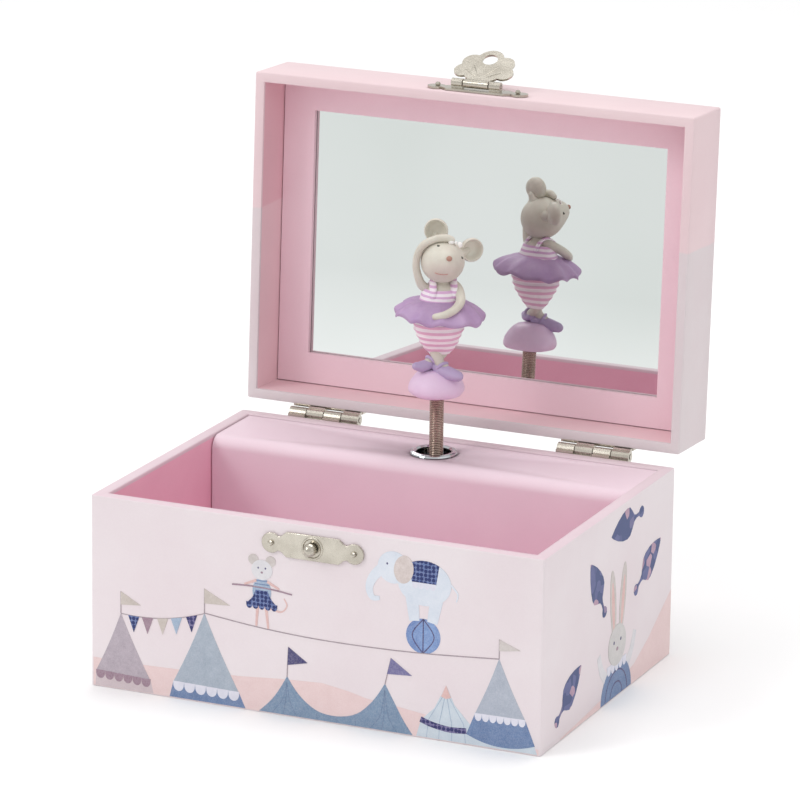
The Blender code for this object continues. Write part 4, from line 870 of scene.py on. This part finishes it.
def circus_elephant(sheet):
    """A plain elephant put together from ovals, with a cloth on its back, on a banded ball."""
    ball = (36.4, 32.2)
    sheet.shape(oval(ball, 5.6, 5.5, steps=36), 2, INK_BALL)
    for swing in (-3.6, 0.0, 3.6):
        band = [(ball[0], ball[1] + 5.4), (ball[0] + swing, ball[1]), (ball[0], ball[1] - 5.4)]
        sheet.line(curve_through(band, 6), 0.36, 2.5, INK_NAVY)
    for hip, foot in (((32.6, 44.0), (33.5, 36.7)), ((40.6, 44.0), (39.3, 36.7))):
        sheet.line([hip, foot], (4.2, 3.3), 3.5, INK_ELEPHANT)
    sheet.line(curve_through([(45.0, 49.6), (47.4, 47.0), (47.0, 44.4)], 4), (0.6, 0.3), 3.5, INK_ELEPHANT)
    body, size = (36.6, 48.8), (8.7, 7.0)
    sheet.shape(oval(body, *size, steps=40), 4, INK_ELEPHANT)
    back = [(body[0] + size[0] * cos(radians(a)), body[1] + size[1] * sin(radians(a)))
            for a in range(57, 130, 6)]
    sheet.shape(back + [(32.6, 48.6), (40.4, 48.6)], 4.5, INK_NAVY_DOTS)
    scallops(sheet, (32.6, 48.4), (40.4, 48.4), 4, 1.5, 5, INK_LILAC_WHITE)
    trunk = [(23.2, 52.0), (20.0, 48.8), (18.6, 45.2), (19.6, 42.2), (22.0, 42.2)]
    sheet.line(curve_through(trunk, 6), (3.6, 1.2), 4.5, INK_ELEPHANT)
    sheet.shape(oval((26.4, 52.4), 5.1, 5.0, steps=32), 5, INK_ELEPHANT)
    sheet.shape(oval((29.8, 52.2), 3.2, 4.4, -8, steps=28), 5.5, INK_EAR)
    sheet.shape(oval((24.4, 53.4), 0.32, 0.36, steps=10), 5.5, INK_NAVY)


def club(sheet, tip, end):
    """A juggling club with a pointed bulb, a thin neck and a knob."""
    along = Vector((end[0] - tip[0], end[1] - tip[1]))
    across = Vector((-along.y, along.x)) / along.length
    widths = ((0.0, 0.15), (0.08, 1.5), (0.2, 3.1), (0.34, 4.4), (0.48, 5.0), (0.57, 4.6), (0.64, 2.9),
              (0.7, 1.1), (0.77, 0.55), (0.85, 0.6), (0.89, 1.5), (0.94, 1.9), (0.98, 1.4), (1.0, 0.6))
    left, right = ([(tip[0] + along.x * t + across.x * w * way, tip[1] + along.y * t + across.y * w * way)
                    for t, w in widths] for way in (1, -1))
    loop = [(u, min(v, RIM - 0.45)) for u, v in left + right[::-1]]
    sheet.shape(loop, 2, INK_HARLEQUIN)


def side_scene(sheet):
    """Four juggling clubs in the air round a plain rabbit, and a pale hill."""
    sheet.shape([(53.0, 0.4), (53.0, 21.8), (44, 17.0), (34, 11.4), (22, 6.4), (4, 3.6), (-18, 2.0),
                 (-38, 0.8), (-38, 0.4)], 0, INK_HILL)
    club(sheet, (0.4, 53.4), (27.0, 55.0))
    club(sheet, (42.4, 41.6), (20.6, 29.6))
    club(sheet, (-16.4, 49.4), (-3.2, 29.6))
    club(sheet, (-22.4, 19.4), (-42.6, 6.2))
    middle = 7.0
    for way in (-1, 1):
        arm = [(middle + 8.0 * way, 8.0), (middle + 12.4 * way, 12.0), (middle + 15.0 * way, 17.6)]
        sheet.line(curve_through(arm, 4), (3.8, 2.6), 1.5, INK_WHITE_GREY)
        sheet.shape(oval((middle + 4.0 * way, 31.5), 2.4, 11.0, -7 * way), 3, INK_GREY_BEIGE)
        sheet.shape(oval((middle + 4.0 * way, 30.5), 1.1, 8.0, -7 * way), 3.5, INK_PEACH)
    coat = [(middle + 12.6 * cos(radians(a)), 0.6 + 11.6 * sin(radians(a))) for a in range(0, 181, 9)]
    sheet.shape(coat, 2, INK_BLUE)
    for reach in (8.4, 4.6):
        hem = [(middle + 1.08 * reach * cos(radians(a)), 0.6 + reach * sin(radians(a)))
               for a in range(0, 181, 15)]
        sheet.line(hem, 0.5, 2.5, INK_NAVY)
    scallops(sheet, (middle - 8.0, 11.4), (middle + 8.0, 11.4), 5, 2.6, 3.5, INK_LILAC_WHITE)
    sheet.shape(oval((middle, 17.2), 7.2, 6.6, steps=36), 4.5, INK_RABBIT)
    for eye in (-2.8, 2.8):
        sheet.shape(oval((middle + eye, 18.4), 0.6, 0.6, steps=10), 5, INK_NAVY)
    sheet.shape(oval((middle, 15.9), 0.9, 0.65, steps=14), 5, INK_PLUM)


# ---------------------------------------------------------------- spring

COIL_CENTRE = (SPINDLE.x + 0.7, SPINDLE.y + 0.3)
COIL_FOOT, COIL_JOINT, COIL_TOP = 58.4, 69.04, 81.0


def spring_plug():
    """The turned brass plug that joins the spring's top to the dancer's foot."""
    low, high = (corner.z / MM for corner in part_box("spring_top_plug"))
    form = bmesh.new()
    profile = [(0, low), (1.2, low), (1.45, low + 0.3), (1.45, high - 0.4), (1.2, high), (0, high)]
    add_lathe(form, profile, 28, COIL_CENTRE)
    made = new_object("spring_plug_turned", form, [BRASS], sharp=40)
    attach(made, "plug")
    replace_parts(made, "spring_top_plug")


def coil(name, low, high):
    """A close-wound length of the spring, wound from height low to height high in millimetres."""
    form = bmesh.new()
    wire, pitch, radius, steps = 0.3, 0.56, 2.0, 20
    count = round((high - low) / pitch * steps)
    points = []
    for i in range(count + 1):
        angle = 2 * pi * (low + i * pitch / steps) / pitch
        points.append((COIL_CENTRE[0] + radius * cos(angle), COIL_CENTRE[1] + radius * sin(angle),
                       low + i * pitch / steps, wire))
    add_tube(form, points, 8)
    made = new_object(name, form, [COIL_STEEL])
    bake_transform(made)
    return made


# ---------------------------------------------------------------- dancer

# The dancer's own frame: -Y is the way the figure faces and Z is height above the dome's foot.
DANCER = (Matrix.Translation((SPINDLE.x, SPINDLE.y, DANCER_FOOT))
          @ Matrix.Rotation(FACING, 4, "Z"))
HEAD_CENTRE = Vector((1.8, -1.1, 46.1))
HEAD_RADIUS = 6.9
HEAD_FORWARD = Vector((0.106, -0.951, 0.285)).normalized()
HEAD_UP = Vector((0.51, 0.26, 0.82)).normalized()
HEAD_RIGHT = HEAD_UP.cross(HEAD_FORWARD).normalized()
HEAD_UP = HEAD_FORWARD.cross(HEAD_RIGHT)
HEAD = Matrix.Translation(HEAD_CENTRE) @ Matrix((
    (HEAD_RIGHT.x, -HEAD_FORWARD.x, HEAD_UP.x, 0), (HEAD_RIGHT.y, -HEAD_FORWARD.y, HEAD_UP.y, 0),
    (HEAD_RIGHT.z, -HEAD_FORWARD.z, HEAD_UP.z, 0), (0, 0, 0, 1)))


def dancer_piece(name, form, finishes, sharp=60):
    """A piece of the dancer from a bmesh in the dancer's own frame."""
    bmesh.ops.transform(form, matrix=DANCER, verts=form.verts)
    made = new_object(name, form, finishes, sharp=sharp)
    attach(made, "dancer")
    return made


def head_reach(way):
    """How far the head's surface is from its middle along a direction, in head radii."""
    muzzle = way.angle(Vector((0, -1, 0.0)))
    jaw = way.angle(Vector((0, -1, -0.55)))
    crown = way.angle(Vector((0, 0.3, 1)))
    return (1 + 0.30 * exp(-(muzzle / 0.42) ** 2) + 0.20 * exp(-(muzzle / 0.75) ** 2)
            + 0.05 * exp(-(jaw / 0.7) ** 2) - 0.03 * exp(-(crown / 0.8) ** 2))


def on_head(across, forward, up, lift=0.0):
    """A point of the head's surface in a direction given in the head's frame."""
    way = Vector((across, -forward, up)).normalized()
    return HEAD @ (way * (HEAD_RADIUS * head_reach(way) + lift))


def add_ear(form, centre, normal, up, radius):
    """A cupped round ear with a thick rolled edge."""
    normal, up = normal.normalized(), up.normalized()
    side = up.cross(normal).normalized()
    over = normal.cross(side)
    profile = [(0, -1.7), (0.4, -1.6), (0.68, -1.15), (0.8, -0.3), (0.86, 0.4), (0.93, 0.68),
               (1.0, 0.45), (1.02, -0.2), (0.93, -1.3), (0.6, -2.3), (0, -2.6)]
    rows = []
    for share, rise in profile:
        rows.append([centre + side * (radius * share * cos(a)) + over * (radius * share * sin(a))
                     + normal * rise for a in around(28)])
    rows[0] = [centre + normal * profile[0][1] + (p - centre - normal * profile[0][1]) * 0.001
               for p in rows[1]]
    rows[-1] = [centre + normal * profile[-1][1] + (p - centre - normal * profile[-1][1]) * 0.001
                for p in rows[-2]]
    skin_rows(form, rows, cap_start=True, cap_end=True)


def dancer_head():
    """Head with a muzzle, and two round ears on short roots."""
    form = bmesh.new()
    add_blob(form, (HEAD_RADIUS,) * 3, HEAD @ Matrix.Rotation(pi / 2, 4, "X"), 56,
             shape=lambda way: head_reach(Matrix.Rotation(pi / 2, 3, "X") @ way))
    dancer_piece("dancer_head", form, [SKIN])
    form = bmesh.new()
    add_ear(form, Vector((-0.3, 0.0, 55.6)), Vector((-0.2, -1, 0.1)), Vector((-0.2, 0, 1)), 3.75)
    add_ear(form, Vector((11.1, 1.2, 49.0)), Vector((0.35, -1, 0.05)), Vector((0.9, 0, 0.6)), 3.75)
    for root, tip in (((0.6, 1.0, 51.0), (-0.3, 1.9, 53.6)), ((7.2, 1.6, 47.6), (9.6, 2.9, 48.5))):
        add_tube(form, curve_through([(*root, 2.0), (*tip, 1.2)], 3), 14)
    dancer_piece("dancer_ears", form, [SKIN])


def dancer_face():
    """Painted eyes and mouth and a small round nose."""
    form = bmesh.new()
    for across, up in ((-3.9, 2.4), (3.9, 3.2)):
        middle = on_head(across, 5.4, up, -0.1)
        add_blob(form, (0.62, 0.45, 0.36), Matrix.Translation(middle) @ HEAD.to_3x3().to_4x4(), 14)
    dancer_piece("dancer_eyes", form, [EYE_PAINT])
    form = bmesh.new()
    add_blob(form, (0.95, 0.85, 0.85), Matrix.Translation(on_head(0, 1, 0.02, 0.1)), 20)
    dancer_piece("dancer_nose", form, [NOSE_PAINT])
    form = bmesh.new()
    smile = [on_head(0.5 + a / 10, 5.4, -4.1 + 0.07 * a + 0.1 * (a / 10) ** 2)
             for a in range(-14, 15, 4)]
    add_tube(form, [(*p, 0.17) for p in smile], 8)
    dancer_piece("dancer_mouth", form, [MOUTH_PAINT])


def dancer_arms():
    """One arm raised over the head and one bent in front."""
    form = bmesh.new()
    raised = [(-2.6, -0.4, 37.2, 1.5), (-4.3, -0.7, 38.0, 1.5), (-5.6, -1.2, 40.6, 1.3),
              (-6.5, -1.6, 44.6, 1.15), (-6.0, -2.2, 48.8, 1.15), (-4.0, -2.9, 52.0, 1.15),
              (-0.4, -3.5, 53.8, 1.15), (2.6, -3.6, 54.0, 1.25), (4.4, -3.6, 53.5, 1.0)]
    bent = [(4.6, -0.2, 38.2, 1.6), (6.2, -1.4, 37.8, 1.65), (7.1, -4.6, 36.4, 1.5),
            (7.0, -8.0, 34.6, 1.45), (5.0, -11.0, 32.9, 1.35), (2.2, -12.7, 31.8, 1.25),
            (0.2, -13.2, 31.3, 1.25), (-1.2, -13.2, 31.2, 1.05)]
    for arm in (raised, bent):
        add_tube(form, curve_through(arm, 6), 18)
    dancer_piece("dancer_arms", form, [SKIN])


def dancer_bow():
    """A small bow between the ears."""
    form = bmesh.new()
    middle = Vector((5.6, -4.1, 52.6))
    turn = HEAD.to_3x3().to_4x4()
    for side in (-1, 1):
        place = (Matrix.Translation(middle) @ turn @ Matrix.Translation((1.15 * side, -0.1, 0.35 * side))
                 @ Matrix.Rotation(radians(35 * side), 4, "Y"))
        add_blob(form, (1.25, 0.6, 0.95), place, 16,
                 shape=lambda way, side=side: 0.75 + 0.3 * side * way.x)
    add_blob(form, (0.5, 0.6, 0.5), Matrix.Translation(middle), 12)
    dancer_piece("dancer_bow", form, [WHITE_PAINT])


def dancer_torso():
    """Leotard with two straps, over a neck and shoulders in the skin colour."""
    centre = (1.6, -0.8)

    def flattened(angle, _):
        return 1 - 0.16 * abs(sin(angle)) ** 2

    form = bmesh.new()
    profile = [(0, 30), (7.4, 30), (7.3, 32.0), (6.9, 33.8), (6.3, 35.6), (5.8, 36.9), (5.4, 37.4),
               (4.9, 37.3), (0, 36.4)]
    add_lathe(form, profile, 44, centre, shape=flattened)
    straps = ((-1.35, -3.9), (5.2, -3.4))
    for x, y in straps:
        path = [(x - 0.2, y - 1.3, 35.8, 1.25), (x, y - 0.8, 37.4, 1.25), (x + 0.1, y + 1.0, 38.9, 1.2),
                (x + 0.1, y + 3.2, 39.7, 1.15), (x, y + 5.4, 38.6, 1.15), (x, y + 6.6, 36.6, 1.15)]
        add_tube(form, curve_through(path, 5), 12, flat=0.55)
    dancer_piece("dancer_leotard", form, [LEOTARD], sharp=50)
    form = bmesh.new()
    shoulders = [(0, 34.5), (4.5, 34.8), (4.9, 36.2), (4.7, 37.4), (3.8, 38.3), (2.7, 38.8), (2.2, 39.8),
                 (2.3, 42.0), (0, 42.0)]
    add_lathe(form, shoulders, 36, centre, shape=flattened)
    dancer_piece("dancer_neck", form, [SKIN])


def dancer_tutu():
    """A ruffled skirt: folds that grow towards the rim, thin at the edge and hollow below."""
    form = bmesh.new()
    steps = 150
    centre = Vector((1.1, -1.0, 0))

    def skirt(angle, out, thick):
        """A point of the skirt: out runs from 0 at the waist to 1 at the rim."""
        fold = (sin(11 * angle + 0.7 * sin(3 * angle)) + 0.1 * sin(23 * angle + 1.1)
                + 0.5 * sin(5 * angle + 2.0))
        wave = fold * 0.5 * out ** 1.5
        reach = 5.4 + 8.6 * out + 0.42 * sin(11 * angle + 0.8) * out ** 2 + 0.3 * sin(4 * angle) * out
        drop = 34.0 - 2.2 * out - 2.4 * out ** 3
        tilt = -0.075 * reach * cos(angle) * out
        return centre + Vector((reach * cos(angle), reach * sin(angle), drop + wave + tilt - thick))

    rows = []
    for out in (0, 0.15, 0.3, 0.45, 0.6, 0.72, 0.83, 0.92, 0.98, 1.0):
        rows.append([skirt(a, out, 0) for a in around(steps)])
    underside = ((1.02, 0.55), (1.005, 1.15), (0.95, 1.4), (0.85, 1.4), (0.6, 1.5), (0.3, 1.9), (0, 2.6))
    for out, thick in underside:
        rows.append([skirt(a, out, thick) for a in around(steps)])
    skin_rows(form, rows + [rows[0]])
    dancer_piece("dancer_tutu", form, [TUTU], sharp=75)


def dancer_bloomers():
    """Gathered bloomers with a raised rib for each stripe, parted into two legs below."""
    form = bmesh.new()
    rows = []
    levels = 44
    hem, height = 16.2, 15.0
    for j in range(levels + 1):
        z = hem + height * j / levels
        full = max(0.0, min(1.0, (z - hem) / 11.5))
        radius = 2.7 + 5.6 * sin(full * pi / 2) ** 0.9
        rib = 0.26 * cos(2 * pi * (z + DANCER_FOOT - BLOOMER_START) / BLOOMER_PERIOD - 2.2)
        parting = max(0.0, 1 - (z - hem) / 5.5)
        row = []
        for angle in around(48):
            crease = 0.32 * parting * (abs(sin(angle)) ** 3)
            reach = radius * (1 - crease) + rib * (0.4 + 0.6 * full)
            row.append((1.0 + 0.25 * parting + reach * cos(angle) * (1 + 0.18 * parting),
                        -0.9 + reach * sin(angle) * 0.95, z))
        rows.append(row)
    skin_rows(form, rows, cap_start=True, cap_end=True)
    dancer_piece("dancer_bloomers", form, [BLOOMERS], sharp=70)


def dancer_feet():
    """Crossed legs in soft closed shoes with a strap over each instep."""
    form = bmesh.new()
    legs = [[(-0.4, -1.6, 18.0, 1.9), (0.3, -2.2, 15.6, 1.7), (1.4, -3.0, 13.4, 1.55),
             (2.6, -3.9, 12.4, 1.5)],
            [(2.8, -0.8, 18.0, 1.9), (1.8, -0.8, 15.8, 1.65), (-0.4, -1.0, 14.2, 1.45),
             (-2.4, -1.8, 13.4, 1.4)]]
    for leg in legs:
        add_tube(form, curve_through(leg, 6), 16)
    dancer_piece("dancer_legs", form, [SKIN])
    form = bmesh.new()
    shoes = [[(0.2, -2.0, 12.1, 1.7), (2.2, -3.8, 11.5, 2.2), (4.6, -5.4, 10.6, 2.35),
              (6.5, -6.5, 10.2, 2.0)],
             [(-0.4, -0.8, 13.0, 1.5), (-2.6, -1.8, 12.7, 2.0), (-4.6, -2.8, 12.4, 2.0),
              (-5.9, -3.3, 12.6, 1.6)]]
    for shoe in shoes:
        add_tube(form, curve_through(shoe, 6), 20, flat=0.85)
    straps = [((1.9, -3.5, 12.5), Vector((0.5, -0.6, -0.7)), 1.9),
              ((-1.5, -1.5, 13.9), Vector((-0.7, -0.45, -0.5)), 1.7)]
    for middle, along, radius in straps:
        turn = along.to_track_quat("Z", "Y").to_matrix()
        ring = [Vector(middle) + turn @ Vector((*p, 0)) for p in oval((0, 0), radius, radius, steps=24)]
        ring.append(ring[0])
        add_tube(form, [(*p, 0.5) for p in ring], 10, ends=False)
    dancer_piece("dancer_slippers", form, [SLIPPER])


def dancer_dome():
    """The lumpy cushion that the figure stands on."""
    def lumps(angle, height):
        """Bulges that fade out with height."""
        low = max(0.0, min(1.0, (9.0 - height) / 5))
        return 1 + low * (0.05 * abs(sin(2.5 * angle + 0.5)) + 0.03 * sin(3 * angle + 0.7) - 0.03)

    form = bmesh.new()
    profile = [(0, 3.1), (1.0, 3.1), (3.0, 3.0), (5.2, 2.8), (7.0, 2.7), (8.1, 3.0), (8.7, 3.7),
               (8.85, 4.7), (8.55, 6.1), (7.9, 7.4), (7.0, 8.7), (6.0, 9.8), (4.6, 10.7), (3.0, 11.1),
               (1.4, 11.2), (0, 11.2)]
    add_lathe(form, profile, 56, (0.5, -0.3), shape=lumps)
    return dancer_piece("dancer_dome", form, [DOME], sharp=50)


def dancer():
    """The whole painted figure."""
    dancer_head()
    dancer_face()
    dancer_arms()
    dancer_bow()
    dancer_torso()
    dancer_tutu()
    dancer_bloomers()
    dancer_feet()
    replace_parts(dancer_dome(), "dancer_figurine")


# ---------------------------------------------------------------- studio

def studio():
    """White surroundings, a pale floor that turns grey in front of the box as painted shade, and three
    area lights.
    """
    world = bpy.data.worlds.new("studio")
    bpy.context.scene.world = world
    world.use_nodes = True
    world.node_tree.nodes["Background"].inputs["Color"].default_value = (1, 1, 1, 1)
    world.node_tree.nodes["Background"].inputs["Strength"].default_value = 0.8
    bpy.context.scene.view_settings.view_transform = "Standard"

    form = bmesh.new()
    span = 6000
    skin_rows(form, [[(-span, -span, 0), (span, -span, 0)], [(-span, span, 0), (span, span, 0)]],
              closed_rows=False)
    n = Nodes("studio_floor")
    ahead = n.maths("MULTIPLY", n.axis("y"), -1.0)
    base = n.mix(n.noise(3, 2), tone("fbfbfb"), tone("fefefe"))
    # Painted shade: the floor turns grey from 220 to 520 mm in front of the box, so the mirror reflects
    # darker surroundings and less bounced light reaches the case's front.
    base = n.mix(n.spread(ahead, 220, 520), base, tone("e2e4e3"))
    finish = n.finish(base, 0.7, Specular_IOR_Level=0.1)
    floor = new_object("floor", form, [finish])

    for name, place, size, power in (
            ("key", (-1000, -1100, 1300), 650, 7.5), ("fill", (1500, -700, 900), 1100, 0.8),
            ("top", (0, 330, 1700), 1000, 8.5)):
        light = bpy.data.lights.new(name, "AREA")
        light.size = size * MM
        light.energy = power
        lamp = bpy.data.objects.new(name, light)
        lamp.location = Vector(place) * MM
        lamp.rotation_euler = (Vector((0, 0, 80)) - Vector(place)).to_track_quat("-Z", "Y").to_euler()
        bpy.context.scene.collection.objects.link(lamp)


def camera():
    """The camera of the photo, looking at the box from the front right."""
    azimuth, elevation, roll = radians(23.755), radians(15.716), radians(0.768)
    distance, lens, right_offset, up_offset = 1587.5, 228.6, 5.0, 84.2
    away = Vector((sin(azimuth) * cos(elevation), -cos(azimuth) * cos(elevation), sin(elevation)))
    right = (-away).cross(Vector((0, 0, 1))).normalized()
    up = right.cross(-away)
    right_rolled = right * cos(roll) + up * sin(roll)
    up_rolled = up * cos(roll) - right * sin(roll)
    place = away * distance + right_rolled * right_offset + up_rolled * up_offset
    data = bpy.data.cameras.new("camera")
    data.lens = lens
    data.sensor_width = 36
    made = bpy.data.objects.new("camera", data)
    made.matrix_world = Matrix((
        (right_rolled.x, up_rolled.x, away.x, place.x * MM),
        (right_rolled.y, up_rolled.y, away.y, place.y * MM),
        (right_rolled.z, up_rolled.z, away.z, place.z * MM),
        (0, 0, 0, 1)))
    bpy.context.scene.collection.objects.link(made)
    bpy.context.scene.camera = made


camera()
studio()
base_shell()
lid_shell()
cover_shell()
clasp_front()
hasp_shell()
dancer()
front_print = Print("front_print", FRONT_FACE)
front_scene(front_print)
rope_acrobat(front_print)
circus_elephant(front_print)
front_print.finish("base")
side_print = Print("side_print", RIGHT_FACE)
side_scene(side_print)
side_print.finish("base")
lower_coil = coil("spring_lower", COIL_FOOT, COIL_JOINT)
coil("spring_upper", COIL_JOINT, COIL_TOP)
spring_plug()
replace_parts(lower_coil, "figure_spring")

for names, finish in (
        (("base_floor",), PAPER), (("compartment_lining",), PAD_PAPER), (("mirror_frame",), FRAME_PAPER),
        (("mirror_glass",), MIRROR), (("platform_grommet",), CHROME),
        (("clasp_knob", "clasp_nail_1", "clasp_nail_2", "hasp_base_plate", "hasp_pin",
          "hasp_nail_1", "hasp_nail_2", "winding_key"), NICKEL),
        (("movement_bedplate", "figure_spindle", "winding_arbor"), ZINC),
        (("governor_wheel", "governor_worm", "spindle_crown_wheel"), NYLON),
        (("tone_comb",), COMB_STEEL), (("mainspring",), SHINY_STEEL),
        (("bedplate_screw_1", "bedplate_screw_2", "comb_screw_1", "comb_screw_2", "cylinder_gear",
          "cylinder_pinion", "pin_cylinder", "governor_bracket", "spindle_bracket", "spring_barrel"),
         BRASS)):
    for node in names:
        dress(node, finish)
for side in ("left", "right"):
    for part in ("base_leaf", "base_leaf_nail_1", "base_leaf_nail_2", "lid_leaf", "lid_leaf_nail_1",
                 "lid_leaf_nail_2", "pin"):
        dress(f"{side}_hinge_{part}", NICKEL)
